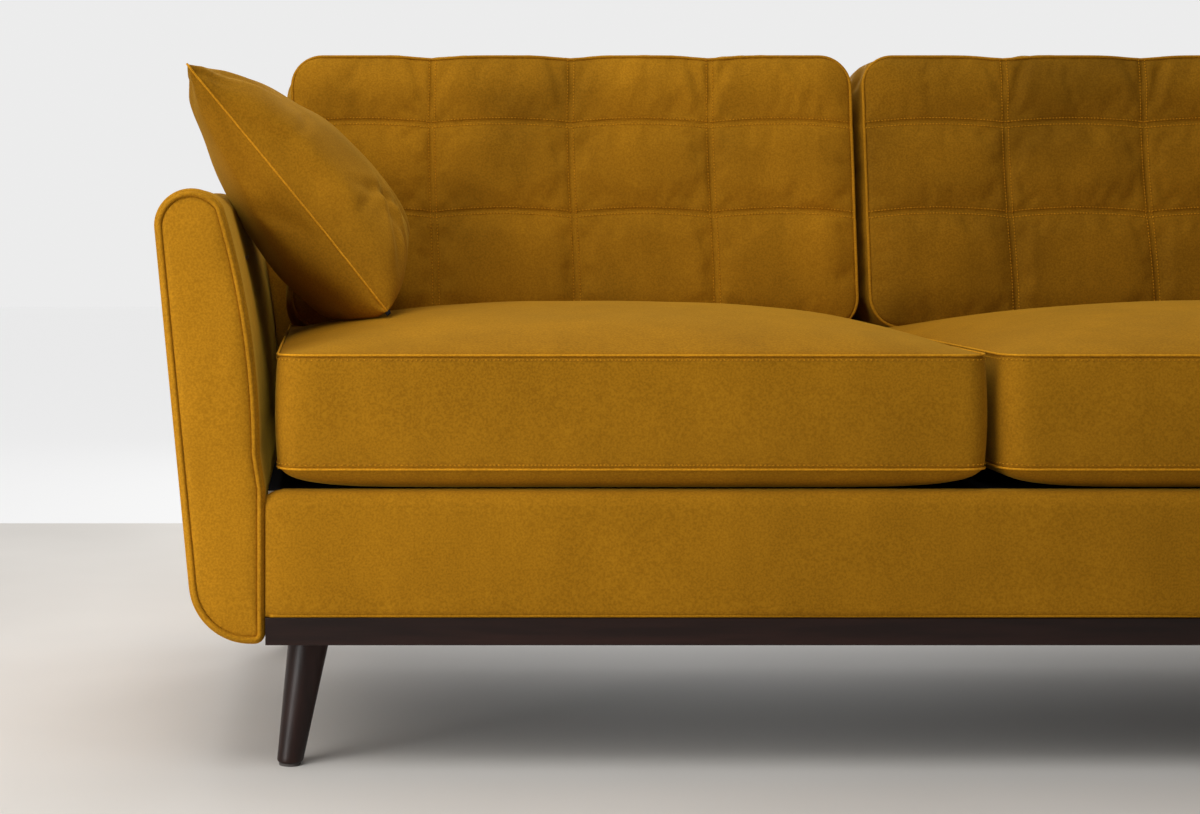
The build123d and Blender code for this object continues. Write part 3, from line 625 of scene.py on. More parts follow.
def leaning(x, v, w):
    """Points by the leaning back: x along the sofa, v up the slope from the underside, w forward of it."""
    origin = np.array([0, outer_back(underside), underside])
    return origin + x[..., None] * along_x + v[..., None] * up_slope + w[..., None] * forward


# ---- arms ------------------------------------------------------------------------------------------------
arm_points = 260
bend_level = 0.350  # height at which the inner side begins to curve outwards
bend_foot = bend_level - 0.038
bend_step = border_end - abs(arm_high.x)  # from the border's end out to the inner side at bend_level
crest_radius = 0.041
shoulder_angle = 31.0
foot_radius = 0.068
foot_width = 0.078
inner_radius = 0.012
front_edge = 0.008
rear_edge = 0.010


def arm_outline(inset=0.0):
    """End view of the right arm as even points (x, z), a chain of arcs and straight lines.

    It runs up the curved inner side, over the round top, down the leaning outer side and round the foot.
    inset moves every point inwards along its own normal.
    """
    widest = -arm_low.x - border_end
    crest = (widest - crest_radius, arm_top - crest_radius)
    shoulder = arc(crest, crest_radius, 180 - shoulder_angle, 180 - shoulder_angle, 1)[0]
    rise, run = shoulder[1] - bend_level, shoulder[0] - bend_step
    side_radius = (rise**2 + run**2) / (2 * run)
    end_angle = np.degrees(atan2(rise, side_radius - run))
    inner = arc((bend_step + side_radius, bend_level), side_radius, 180, 180 - end_angle, 24)
    top = arc(crest, crest_radius, 180 - shoulder_angle, 0, 24)
    lean_out = atan2(widest - foot_width, crest[1] - underside)
    foot_centre = (foot_width - foot_radius * tan((pi / 2 - lean_out) / 2), underside + foot_radius)
    foot = arc(foot_centre, foot_radius, -np.degrees(lean_out), -90, 20)
    toe = arc((inner_radius, underside + inner_radius), inner_radius, -90, -180, 8)
    chain = np.concatenate([inner, top[1:], foot, toe, [(0, bend_foot)]])
    line = resample(chain, arm_points)
    line = line - inset * outward_directions(line)
    return np.stack([border_end + line[:, 0], line[:, 1]], axis=1)


def outward_directions(line):
    """Unit directions square to a closed line (x, z) that runs clockwise, pointing out of it."""
    ahead = np.roll(line, -1, axis=0) - np.roll(line, 1, axis=0)
    ahead /= np.linalg.norm(ahead, axis=1, keepdims=True)
    return np.stack([-ahead[:, 1], ahead[:, 0]], axis=1)


def arm_inner(level):
    """X of the right arm's inner side at heights above the floor."""
    line = arm_outline()
    rows = line[: arm_points * 42 // 100]
    rows = rows[rows[:, 1] > bend_level]
    rows = rows[: int(np.argmax(rows[:, 1])) + 1]
    return np.interp(level, rows[:, 1], rows[:, 0])


def shrunk(outline, share):
    """An outline drawn towards its own middle point, down to a share of its size."""
    middle = outline.mean(axis=0)
    return middle + (outline - middle) * share


def upright_ring(line, y):
    """A ring of points from an end view's line (x, z), at one place along Y or at one for each point."""
    return np.stack([line[:, 0], np.broadcast_to(y, len(line)), line[:, 1]], axis=1)


def make_arm():
    """The right arm's cover: its outline carried back to the leaning rear face, with both edges rounded.

    With t from 0 at the front edge to 1 at the rear, each point stands out along its normal by a soft noise
    times sin(pi t)^0.5, less about a millimetre. Rings that shrink to the middle close both ends.
    """
    start = facing_low.y + 0.004
    rings = []
    for share in (0.25, 0.55, 0.85):
        rings.append(upright_ring(shrunk(arm_outline(front_edge), share), facing_high.y - 0.001))
    for angle in np.radians(np.linspace(0, 90, 7)):
        line = arm_outline(front_edge * (1 - sin(angle)))
        rings.append(upright_ring(line, start + front_edge * (1 - cos(angle))))
    outline = arm_outline()
    outwards = outward_directions(outline)
    rear = outer_back(outline[:, 1])
    for t in np.linspace(0.02, 0.985, 40):
        points = upright_ring(outline, start + t * (rear - start))
        plump = 0.0022 * sin(pi * t) ** 0.5 * soft_noise(points, 0.34, 5) - 0.0012
        points[:, [0, 2]] += outwards * (plump * min(1, t * 8, (1 - t) * 12))[:, None]
        rings.append(points)
    for angle in np.radians(np.linspace(15, 90, 5)):
        line = arm_outline(rear_edge * (1 - cos(angle)))
        rings.append(upright_ring(line, outer_back(line[:, 1]) - rear_edge + rear_edge * sin(angle)))
    for share in (0.9, 0.7, 0.45, 0.2):
        line = shrunk(arm_outline(rear_edge), share)
        rings.append(upright_ring(line, outer_back(line[:, 1]) + 0.0015 * (1 - share)))
    return skin_rings("arm_cover_velvet_right", np.array(rings))


def make_facing():
    """The arm's front panel: rings of its outline drawn inwards, closed flat behind.

    Its front is crowned by (1 - share^7)^0.75, where share is a ring's size against the outline's.
    """
    edge = arm_outline(0.0085)
    rings = [upright_ring(shrunk(edge, share), facing_high.y) for share in (0.3, 0.7, 1.0)]
    for share in (1.0, 0.985, 0.96, 0.92, 0.85, 0.75, 0.62, 0.47, 0.3, 0.14, 0.04):
        crown = (1 - share**7) ** 0.75
        points = upright_ring(shrunk(edge, share), facing_low.y + 0.0045 * (1 - crown) - 0.0008 * crown)
        points[:, 1] += 0.0007 * soft_noise(points, 0.13, 11) * (1 - share**4)
        rings.append(points)
    return skin_rings("arm_front_panel_right", np.array(rings))


def make_front_cord():
    """Piping round the arm's front panel."""
    path = upright_ring(arm_outline(0.0062), facing_low.y + 0.0035)
    return tube("arm_front_piping_right", path, 0.0026, closed=True)


def make_rear_cord():
    """Piping round the arm's rear panel, lying on the leaning face."""
    line = arm_outline(0.0105)
    path = upright_ring(line, outer_back(line[:, 1]) - 0.0005)
    return tube("arm_rear_piping_right", path, 0.0024, closed=True)


def make_arms():
    """Both arms: the right one's four pieces, and the same four mirrored."""
    pieces = [
        (make_arm(), "arm_cover_velvet", velvet, ("arm_cover", "arm_padding"), 0.9),
        (make_facing(), "arm_front_panel", velvet, ("arm_facing",), 0.9),
        (make_front_cord(), "arm_front_piping", piping_velvet, ("arm_piping",), None),
        (make_rear_cord(), "arm_rear_piping", piping_velvet, (), None),
    ]
    for thing, name, material, replaced, fill in pieces:
        for side in ("right", "left"):
            piece = thing if side == "right" else mirrored(thing, f"{name}_left")
            slot = "piping_velvet" if "piping" in name else "velvet"
            finish_piece(piece, "base", material, slot, *[f"{node}_{side}" for node in replaced])


# ---- border, deck, lining --------------------------------------------------------------------------------
border_round = 0.016
border_end_run = 0.022  # over this length each end is drawn in


def border_section(depth, height):
    """Section of the border as (depth, height): a rectangle with its upper front edge round."""
    foot = 0.001
    return np.concatenate(
        [
            np.stack([np.full(18, 0.0), np.linspace(foot, height - border_round, 18)], axis=1),
            arc((border_round, height - border_round), border_round, 180, 90, 8)[1:],
            np.stack([np.linspace(border_round, depth, 5)[1:], np.full(4, height)], axis=1),
            np.stack([np.full(6, depth), np.linspace(height, foot, 7)[1:]], axis=1),
            np.stack([np.linspace(depth, 0.0, 6)[1:-1], np.full(4, foot)], axis=1),
        ]
    )


def make_border():
    """The front border: its section carried along X, with its ends drawn in beside the arms.

    The face stands out by sin(pi s)^0.6 times a soft noise, with s from 0 at its foot to 1 at its top.
    """
    near = border_end * np.array([0.988, 0.994, 0.998, 1.0])
    stations = np.concatenate([-near[::-1], np.linspace(-0.975, 0.975, 90) * border_end, near])
    depth, height = border_high.y - border_low.y, border_high.z - border_low.z
    section = border_section(depth, height)
    face = (section[:, 0] < border_round) * np.sin(pi * np.clip(section[:, 1] / height, 0, 1)) ** 0.6
    rings = []
    for x in stations:
        near_end = max(0.0, 1 - (border_end - abs(x)) / border_end_run)
        y = border_low.y + section[:, 0] * (1 - 0.1 * near_end**2) + 0.003 * near_end**2
        z = border_low.z + section[:, 1] * (1 - 0.055 * near_end**2)
        points = np.stack([np.full(len(section), x), y, z], axis=1)
        points[:, 1] -= face * (0.0022 + 0.0012 * soft_noise(points, 0.21, 3)) * (1 - near_end)
        rings.append(points)
    border = skin_rings("front_border_velvet", np.array(rings))
    # The border takes the darkened velvet copy, which paints shade into its colour.
    finish_piece(border, "base", velvet_seat_painted_shade, "velvet", "border_cover", "border_padding")
    along = stations[2:-2]
    level = np.full(len(along), border_low.z + 0.0022)
    line = np.stack([along, np.full(len(along), border_low.y + 0.0012), level], axis=1)
    lower_cord = tube("front_border_lower_piping", line, 0.0018, around=8)
    finish_piece(lower_cord, "base", piping_velvet, "piping_velvet")


def add_wall(thing, thickness, offset):
    """Gives a cloth surface its thickness."""
    wall = thing.modifiers.new("wall", "SOLIDIFY")
    wall.thickness = thickness
    wall.offset = offset


def sheet_grid(name, low, high, columns, rows, level, thickness, keep=None):
    """A flat cloth as a grid of points at heights level(x, y), with a thin wall; keep picks its squares."""
    x, y = np.meshgrid(np.linspace(low.x, high.x, columns), np.linspace(low.y, high.y, rows))
    points = np.stack([x, y, level(x, y)], axis=-1).reshape(-1, 3)
    faces = lattice_faces(np.arange(columns * rows).reshape(rows, columns))
    if keep is not None:
        middle = points[faces].mean(axis=1)
        faces = faces[keep(middle[:, 0], middle[:, 1])]
        used = np.unique(faces)
        renumber = np.zeros(len(points), int)
        renumber[used] = np.arange(len(used))
        points, faces = points[used], renumber[faces]
    thing = make_object(name, points, faces.tolist())
    add_wall(thing, thickness, -1)
    return thing


def make_deck():
    """The cloth over the seat springs, ribbed by a cosine of X where the springs press from below."""
    spring_step = 0.15

    def level(x, y):
        inside = np.clip(np.sin(pi * (x - deck_low.x) / (deck_high.x - deck_low.x)), 0, 1) ** 0.3
        return deck_high.z - 0.0010 + 0.0006 * np.cos(x * 2 * pi / spring_step) * inside

    deck = sheet_grid("seat_deck_cloth", deck_low, deck_high, 120, 60, level, 0.001)
    finish_piece(deck, "base", black_cloth, "black_cloth", "deck_cloth")


def make_dust_cover():
    """The lining under the base: it sags by a cosine times a sine, and is cut back at each leg's plate."""
    columns, rows = 150, 80
    sag = 0.006
    plate_low, plate_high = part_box("leg_plates")
    corner_x = plate_high.x - 0.085
    corner_front, corner_rear = plate_low.y + 0.095, plate_high.y - 0.095

    def level(x, y):
        across = np.clip(np.cos(pi * x / (dust_high.x - dust_low.x)), 0, 1)
        along = np.clip(np.sin(pi * (y - dust_low.y) / (dust_high.y - dust_low.y)), 0, 1)
        return dust_high.z - 0.0006 - sag * (across * along) ** 0.7

    def keep(x, y):
        return (np.abs(x) < corner_x) | ((y > corner_front) & (y < corner_rear))

    lining = sheet_grid("under_lining_cloth", dust_low, dust_high, columns, rows, level, 0.0006, keep)
    finish_piece(lining, "base", black_cloth, "black_cloth", "dust_cover")


# ---- fixed back ------------------------------------------------------------------------------------------
back_foot_v = (box_low.z - underside) / cos(lean) - 0.002
back_top_v = (top_of_back - underside) / cos(lean)
back_thick = 0.076
back_round = 0.014
skirt_lap = 0.030
arm_gap = 0.0015


def back_section():
    """Section of the padded back as (v, w): a rectangle with four round corners."""
    v0, v1, w0, w1, r = back_foot_v, back_top_v, 0.0, back_thick, back_round

    def run(a, b, count):
        return np.linspace(a, b, count)[:-1]

    return np.concatenate(
        [
            np.stack([run(v0 + r, v1 - r, 30), np.full(29, w0)], axis=1),
            arc((v1 - r, w0 + r), r, 270, 360, 7)[:-1],
            np.stack([np.full(5, v1), run(w0 + r, w1 - r, 6)], axis=1),
            arc((v1 - r, w1 - r), r, 0, 90, 7)[:-1],
            np.stack([run(v1 - r, v0 + r, 30), np.full(29, w1)], axis=1),
            arc((v0 + r, w1 - r), r, 90, 180, 7)[:-1],
            np.stack([np.full(5, v0), run(w1 - r, w0 + r, 6)], axis=1),
            arc((v0 + r, w0 + r), r, 180, 270, 7)[:-1],
        ]
    )


def room_to_arm(points):
    """How far the back's end can be widened at each point before it meets the arm's inner side."""
    return arm_inner(points[..., 2]) - arm_gap - back_width


def end_share(x):
    """0 along the middle of the back, rising to 1 over the last tenth at each end."""
    return np.clip((np.abs(x) - 0.9 * back_width) / (0.1 * back_width), 0, 1)


def smooth_step(share):
    """0 to 1 with level ends."""
    return share * share * (3 - 2 * share)


def make_outer_back():
    """The fixed back's padded box: its section carried along X, with round ends.

    With s from 0 at its foot to 1 at its top, both faces stand out by sin(pi s)^0.5 times a soft noise. Below
    the arms' tops its ends widen to the arms' inner sides.
    """
    section = back_section()
    middle = section.mean(axis=0)
    ends = [(share * 0.97, back_width) for share in (0.3, 0.7, 0.9)]
    for a in np.radians(np.linspace(0, 90, 6)):
        share = 1 - (1 - sin(a)) * back_round / middle[1] * 0.3
        ends.append((share, back_width - back_round * (1 - cos(a))))
    reach = back_width - back_round - 0.004
    body = [(1.0, x) for x in np.linspace(reach, -reach, 80)]
    built = []
    for share, x in ends + body + [(share, -x) for share, x in reversed(ends)]:
        shape = middle + (section - middle) * share
        points = leaning(np.full(len(shape), x), shape[:, 0], shape[:, 1])
        if share == 1.0:
            up = np.clip((shape[:, 0] - back_foot_v) / (back_top_v - back_foot_v), 0, 1)
            full = 0.0015 + 0.0012 * soft_noise(points, 0.3, 21)
            push = np.sin(pi * up) ** 0.5 * full * (1 - (x / back_width) ** 8)
            points += np.where(shape[:, 1] < middle[1], -1, 1)[:, None] * push[:, None] * forward * 0.6
        room = np.clip(room_to_arm(points), 0, 1)
        fade = np.clip((arm_top - 0.005 - points[:, 2]) / 0.085, 0, 1)
        points[:, 0] += np.sign(x) * end_share(x) * room * smooth_step(fade)
        built.append(points)
    back = skin_rings("outer_back_velvet", np.array(built))
    finish_piece(back, "base", velvet, "velvet", "back_cover", "back_padding")


def make_back_skirt():
    """The cloth from the padded box down to the underside, its upper edge tucked in behind the velvet.

    Its depth is a slight cosine of X times sin(pi v / height), and its ends meet the arms.
    """
    columns, rows = 90, 12
    height = back_foot_v + skirt_lap
    x, v = np.meshgrid(np.linspace(-back_width, back_width, columns), np.linspace(0.0, height, rows))
    tuck = smooth_step(np.clip((v - back_foot_v - 0.011) / 0.019, 0, 1))
    w = 0.0004 * np.cos(x * 9) * np.sin(pi * v / height) - 0.0004 + 0.0042 * tuck
    cloth = leaning(x, v, w)
    room = room_to_arm(cloth)
    cloth[..., 0] += np.sign(x) * end_share(x) * room
    faces = lattice_faces(np.arange(columns * rows).reshape(rows, columns))[:, ::-1].tolist()
    skirt = make_object("outer_back_lower_panel", cloth.reshape(-1, 3), faces)
    add_wall(skirt, 0.0018, 0)
    finish_piece(skirt, "base", velvet, "velvet")


def make_back_piping():
    """Piping up both sides of the outer back and over its top."""
    edge, turn = back_width - 0.006, 0.006
    side_v = np.linspace(0.002, back_top_v - 2 * turn, 60)
    path_v = np.concatenate([side_v, np.full(80, back_top_v - turn), side_v[::-1]])
    over_top = np.linspace(turn - edge, edge - turn, 80)
    path_x = np.concatenate([np.full(60, -edge), over_top, np.full(60, edge)])
    path = resample(leaning(path_x, path_v, np.full(200, 0.002)), 240, closed=False)
    cord = tube("outer_back_piping", path, 0.0026)
    finish_piece(cord, "base", piping_velvet, "piping_velvet")


# ---- boxed cushions --------------------------------------------------------------------------------------


class BoxedForm:
    """A boxed cushion's lattice: a front panel, a rear panel and the boxing strip between their edges.

    xs and ys are the panel lines' places. Point numbers are kept in front, rear and rings, a table whose rows
    run from the front panel's edge to the rear panel's edge, and edge is each edge point's place (x, y).
    """

    def __init__(self, xs, ys, layers):
        columns, rows = len(xs), len(ys)
        self.front = np.arange(columns * rows).reshape(rows, columns)
        self.rear = self.front + columns * rows
        self.x, self.y = np.meshgrid(xs, ys)
        around = len(edge_of(self.front))
        first = 2 * columns * rows
        middle = first + np.arange((layers - 1) * around).reshape(layers - 1, around)
        self.rings = np.concatenate([edge_of(self.front)[None], middle, edge_of(self.rear)[None]])
        self.edge = np.stack([edge_of(self.x), edge_of(self.y)], axis=1)
        self.count = first + (layers - 1) * around
        self.layers = layers
        strip = lattice_faces(self.rings, wrap=True)[:, [0, 3, 2, 1]]
        panels = [lattice_faces(self.front), lattice_faces(self.rear)[:, ::-1]]
        self.faces = np.concatenate(panels + [strip]).tolist()

    def flat_points(self):
        """Lattice places with the third value 0 at the front panel, 1 at the rear, between in the boxing."""
        points = np.zeros((self.count, 3))
        points[self.front.ravel(), 0] = self.x.ravel()
        points[self.front.ravel(), 1] = self.y.ravel()
        points[self.rear.ravel()] = points[self.front.ravel()]
        points[self.rear.ravel(), 2] = 1
        for layer in range(1, self.layers):
            points[self.rings[layer], :2] = self.edge
            points[self.rings[layer], 2] = layer / self.layers
        return points

    def cover(self, name, points, side):
        """The closed cover on this lattice, right side out; the left cushion's faces run the other way."""
        faces = self.faces if side > 0 else [f[::-1] for f in self.faces]
        thing = make_object(name, points, faces)
        face_outwards(thing)
        return thing


def edge_of(table):
    """The entries round a two-way table's edge, in order."""
    return np.concatenate([table[0, :-1], table[:-1, -1], table[-1, :0:-1], table[:0:-1, 0]])


def round_corners(x, y, half_x, half_y, radius):
    """Draws the points near a rectangle's corners onto quarter discs, by the map of a square onto a disc."""
    over_x = np.clip(np.abs(x) - (half_x - radius), 0, None) / radius
    over_y = np.clip(np.abs(y) - (half_y - radius), 0, None) / radius
    new_x = half_x - radius + radius * over_x * np.sqrt(1 - over_y**2 / 2)
    new_y = half_y - radius + radius * over_y * np.sqrt(1 - over_x**2 / 2)
    in_corner = (over_x > 0) & (over_y > 0)
    return np.where(in_corner, np.sign(x) * new_x, x), np.where(in_corner, np.sign(y) * new_y, y)


def spaced(low, high, step):
    """Even places from low to high, about a step apart."""
    return np.linspace(low, high, max(2, int(round((high - low) / step)) + 1))


def closed(line):
    """A line with its first point again at its end."""
    return np.concatenate([line, line[:1]])


def side_name(side):
    """A side's word in the names of pieces and bodies."""
    return "left" if side < 0 else "right"


# ---- seat cushions ---------------------------------------------------------------------------------------
seat_half_x = (seat_high.x - seat_low.x) / 2
seat_half_y = (seat_high.y - seat_low.y) / 2
seat_middle = np.array([(seat_high.x + seat_low.x) / 2, (seat_high.y + seat_low.y) / 2])
seat_lower_seam = seat_low.z + 0.0235
seat_upper_seam = cushion_low.z - 0.0035
seat_dome = seat_high.z - cushion_low.z
seat_step = 0.0105
seat_layers = 14
seat_corner = 0.030
seat_bulge = 0.0035
seat_pull = 0.0045
stitch_inset = 0.0050
stitch_rise = 0.0009
cushion_front_y = cushion_low.y


def seat_places(flat, side):
    """Places of a seat cushion's lattice before it is filled.

    The top rises from its seam by seat_dome (1 - |x|^2.3)^0.72 sin(pi s^1.12)^0.55, with x a share of the
    half width and s from 0 at the front edge to 1 at the back cushion's face. The underside drops by
    (1 - |x|^9)^0.55 times the way in from its front and rear to the 0.45. The boxing bulges by sin(pi t).
    """
    x, y = round_corners(flat[:, 0], flat[:, 1], seat_half_x, seat_half_y, seat_corner)
    t = flat[:, 2]
    across = np.abs(flat[:, 0] / seat_half_x)
    depth_share = np.clip((flat[:, 1] + seat_half_y) / (cushion_front_y - seat_low.y), 0, 1)
    along = np.clip(np.sin(pi * depth_share**1.12), 0, 1) ** 0.55
    top = seat_upper_seam + seat_dome * np.clip(1 - across**2.3, 0, 1) ** 0.72 * along
    drop = (seat_lower_seam - seat_low.z) * np.clip(1 - across**9, 0, 1) ** 0.55
    drop *= np.clip((seat_half_y - np.abs(flat[:, 1])) / seat_corner, 0, 1) ** 0.45
    boxing = seat_upper_seam + (seat_lower_seam - seat_upper_seam) * t
    z = np.where(t == 0, top, np.where(t == 1, seat_lower_seam - drop, boxing))
    bulge = seat_bulge * np.sin(pi * t)
    length = np.maximum(np.hypot(x / seat_half_x, y / seat_half_y), 1e-6)
    x = x * (1 - seat_pull / seat_half_x) + bulge * x / seat_half_x / length
    y = y * (1 - seat_pull / seat_half_y) + bulge * y / seat_half_y / length
    return np.stack([side * (seat_middle[0] + x), seat_middle[1] + y, z], axis=1)


def beside_seam(seam, boxing, outwards):
    """A stitch row's path on the boxing: stitch_inset from the seam and just proud of the velvet."""
    step = boxing - seam
    share = stitch_inset / np.linalg.norm(step, axis=1, keepdims=True)
    return seam + step * share + outwards * stitch_rise


def make_seat_stitches(form, points, side):
    """A row of stitches on the boxing beside each seam."""
    name = side_name(side)
    upper, lower = points[form.rings[0]], points[form.rings[-1]]
    centre = np.array([side * seat_middle[0], seat_middle[1]])
    outwards = np.concatenate([upper[:, :2] - centre, np.zeros((len(upper), 1))], axis=1)
    outwards = closed(outwards / np.linalg.norm(outwards, axis=1, keepdims=True))
    upper_row = beside_seam(closed(upper), closed(points[form.rings[1]]), outwards)
    lower_row = beside_seam(closed(lower), closed(points[form.rings[-2]]), outwards)
    rows = [(upper_row, outwards), (lower_row, outwards)]
    stitches = stitch_row(f"seat_cushion_stitching_{name}", rows)
    finish_piece(stitches, f"seat_cushion_{name}", thread_and_seam_highlight, "piping_velvet")


def make_seat_zip(cushion, side):
    """The zip across the rear boxing, laid on the filled cover."""
    name = side_name(side)
    zip_low, zip_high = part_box(f"seat_cushion_zip_{name}")
    level = (zip_low.z + zip_high.z) / 2
    places = np.linspace(zip_low.x, zip_high.x, 60)
    surface = BVHTree.FromObject(cushion, bpy.context.evaluated_depsgraph_get())
    behind = seat_high.y + 0.1
    hits = [surface.ray_cast((float(x), behind, level), (0, -1, 0))[0].y for x in places]
    path = np.stack([places, np.array(hits) + 0.0004, np.full(60, level)], axis=1)
    make_zip(f"seat_cushion_zip_piece_{name}", path, np.array([0, 1.0, 0]), f"seat_cushion_{name}",
             f"seat_cushion_zip_{name}")


def make_seat_cushion(side, seed):
    """A domed boxed cushion, filled by Cloth with its seams, its underside and its covered rear part held."""
    name = side_name(side)
    xs = spaced(-seat_half_x, seat_half_x, seat_step)
    ys = spaced(-seat_half_y, seat_half_y, seat_step)
    form = BoxedForm(xs, ys, seat_layers)
    cushion = form.cover(f"seat_cushion_velvet_{name}", seat_places(form.flat_points(), side), side)
    under_back = form.front[form.y > cushion_front_y - seat_middle[1]]
    held = np.unique(np.concatenate([form.rings[0], form.rings[-1], form.rear.ravel(), under_back.ravel()]))
    fill_cover(cushion, held, 1.8, 0.0, 0.005, 14)
    points = read_points(cushion)
    free = np.setdiff1d(np.arange(len(points)), held)
    points[free, 2] += 0.0006 * soft_noise(points[free], 0.16, seed)
    write_points(cushion, points)
    subdivide(cushion)
    # The seat cover takes the darkened velvet copy, which paints shade into its colour.
    finish_piece(cushion, f"seat_cushion_{name}", velvet_seat_painted_shade, "velvet", f"seat_cushion_cover_{name}",
                 f"seat_cushion_foam_{name}")
    make_seat_stitches(form, points, side)
    make_seat_zip(cushion, side)
    # Bright thread cords on both seams: a painted highlight along the seam ridges.
    for label, ring in (("upper", form.rings[0]), ("lower", form.rings[-1])):
        path = resample(points[ring], 360)
        cord = tube(f"seat_cushion_{label}_seam_{name}", path, 0.0013, closed=True, around=6)
        finish_piece(cord, f"seat_cushion_{name}", thread_and_seam_highlight, "piping_velvet")
    return cushion


# ---- back cushions ---------------------------------------------------------------------------------------
cushion_rear_w = 0.078
cushion_thick = 0.163
cushion_front_w = cushion_rear_w + cushion_thick
cushion_half_x = (cushion_high.x - cushion_low.x) / 2
cushion_middle_x = (cushion_high.x + cushion_low.x) / 2
cushion_low_v = (cushion_low.z - underside - cushion_front_w * sin(lean)) / cos(lean)
cushion_high_v = (cushion_high.z - underside - (cushion_front_w - 0.03) * sin(lean)) / cos(lean) - 0.002
cushion_half_v = (cushion_high_v - cushion_low_v) / 2
cushion_corner = 0.042
cushion_step = 0.0070
cushion_layers = 15
edge_depth = 0.013  # how far the front panel's edge lies behind the cushion's front
seam_half = 0.0043  # from a twin seam's middle to each of its stitch rows
twin_rows = (-seam_half, seam_half)
column = (cushion_half_x - 0.003) / 2
upright_seams = [-column, 0.0, column]
level_seams = [(2 * share - 1) * cushion_half_v for share in (0.410, 0.742)]


def seam_lines(low, high, seams):
    """Lattice places from low to high, a step apart, with three at each seam: its middle and both rows."""
    lines = [low]
    for seam in seams:
        before, after = seam - seam_half, seam + seam_half
        lines = np.concatenate([lines, spaced(lines[-1], before, cushion_step)[1:], [seam, after]])
    return np.concatenate([lines, spaced(lines[-1], high, cushion_step)[1:]])


def on_lines(places, seams, offsets):
    """Which lattice places lie on a seam's lines, at the given offsets from its middle."""
    return np.isin(np.round(places, 6), np.round([s + d for s in seams for d in offsets], 6))


def cushion_places(form, on_front, seed):
    """Places (x, v, w) of the right back cushion's lattice before it is filled.

    The front rises from its edge by the way in to the 0.55, and in each cell by the root of a sine across
    times the root of a sine up. Its seams lie deeper, the level ones bow up between the upright ones, and
    these sway by a sine. The top edge dips at each upright seam by a bell curve. The boxing bulges by
    sin(pi t)^0.7.
    """
    flat = form.flat_points()
    flat_x, flat_y, t = flat.T
    bow = np.zeros(len(flat))
    for high, seam in zip((0.0055, 0.0050), level_seams):
        bow += high * np.abs(np.sin(pi * flat_x / column)) * np.exp(-(((flat_y - seam) / 0.05) ** 2))
    sway = 0.003 * np.sin(flat_y * 14 + seed) * on_front
    x, y = round_corners(flat_x, flat_y, cushion_half_x, cushion_half_v, cushion_corner)
    y = y + bow * on_front
    dips = sum(0.0038 * np.exp(-(((x - s) / 0.034) ** 2)) for s in upright_seams)
    y = y - dips * np.clip(y / cushion_half_v, 0, 1) ** 5
    x = x + sway * (1 - np.abs(x / cushion_half_x) ** 2)

    way_in = np.minimum(cushion_half_x - np.abs(flat_x), cushion_half_v - np.abs(flat_y))
    rise = np.clip(way_in / 0.05, 0, 1) ** 0.55
    cell_x = np.abs(np.sin(pi * flat_x / column)) ** 0.5
    row_edges = np.array([-cushion_half_v, *level_seams, cushion_half_v])
    row = np.clip(np.searchsorted(row_edges, flat_y, side="right") - 1, 0, 2)
    cell_y = np.sin(pi * (flat_y - row_edges[row]) / (row_edges[row + 1] - row_edges[row])) ** 0.5
    puff = 0.0042 * np.clip(cell_x, 0, 1) * np.clip(cell_y, 0, 1)
    front_edge_w = cushion_front_w - edge_depth
    w = np.where(t == 0, front_edge_w + 0.006 * rise + puff, front_edge_w - (cushion_thick - edge_depth) * t)
    w = np.where(t == 1, cushion_rear_w + 0.006 - 0.004 * rise, w)
    deep = on_lines(form.x, upright_seams, [0]) | on_lines(form.y, level_seams, [0])
    w[form.front[deep]] -= 0.0016

    bulge = 0.006 * np.sin(pi * t) ** 0.7
    at_side = np.abs(flat_x) >= cushion_half_x - 1e-6
    x = x * (1 - 0.005 / cushion_half_x) + 0.75 * bulge * np.where(at_side, np.sign(x), 0)
    y = y + bulge * (flat_y >= cushion_half_v - 1e-6)
    foot = np.clip(0.5 - y / (2 * cushion_half_v), 0, 1) ** 3
    v = cushion_low_v + cushion_half_v + y - foot * (cushion_front_w - w) * tan(lean)
    return x, v, w


def cushion_folds(u, v):
    """Depth of the front panel's folds: at both ends of each upright seam, and four from each crossing."""
    folds = np.zeros(len(u))
    for s in upright_seams:
        upper, lower = level_seams[1], level_seams[0]
        folds += crease(u, v, (s + 0.030, cushion_half_v), (s + 0.006, upper + 0.006), 0.0040, 0.0065)
        folds += crease(u, v, (s - 0.022, cushion_half_v), (s - 0.007, upper + 0.030), 0.0026, 0.0060)
        folds += crease(u, v, (s + 0.008, -cushion_half_v), (s + 0.012, lower - 0.01), 0.0022, 0.0070)
        for level in level_seams:
            for turn_x, turn_y, reach in ((1, 1, 0.045), (-1, 1, 0.035), (1, -1, 0.050), (-1, -1, 0.040)):
                end = (s + turn_x * reach, level + turn_y * 0.55 * reach)
                folds += crease(u, v, (s, level), end, 0.0017, 0.0052)
    return folds


def make_cushion_stitches(name, form, xs, ys, points):
    """Two rows of stitches along each seam of the front panel, just proud of the velvet."""
    uprights = [form.front[:, np.argmin(np.abs(xs - (s + d)))] for s in upright_seams for d in twin_rows]
    levels = [form.front[np.argmin(np.abs(ys - (s + d)))] for s in level_seams for d in twin_rows]
    lines = []
    for numbers in uprights + levels:
        lines.append((points[numbers] + forward * 0.0007, np.broadcast_to(forward, (len(numbers), 3))))
    stitches = stitch_row(f"back_cushion_stitching_{name}", lines, 0.0044, 0.0034, 0.00085)
    finish_piece(stitches, f"back_cushion_{name}", thread_and_seam_highlight, "piping_velvet")


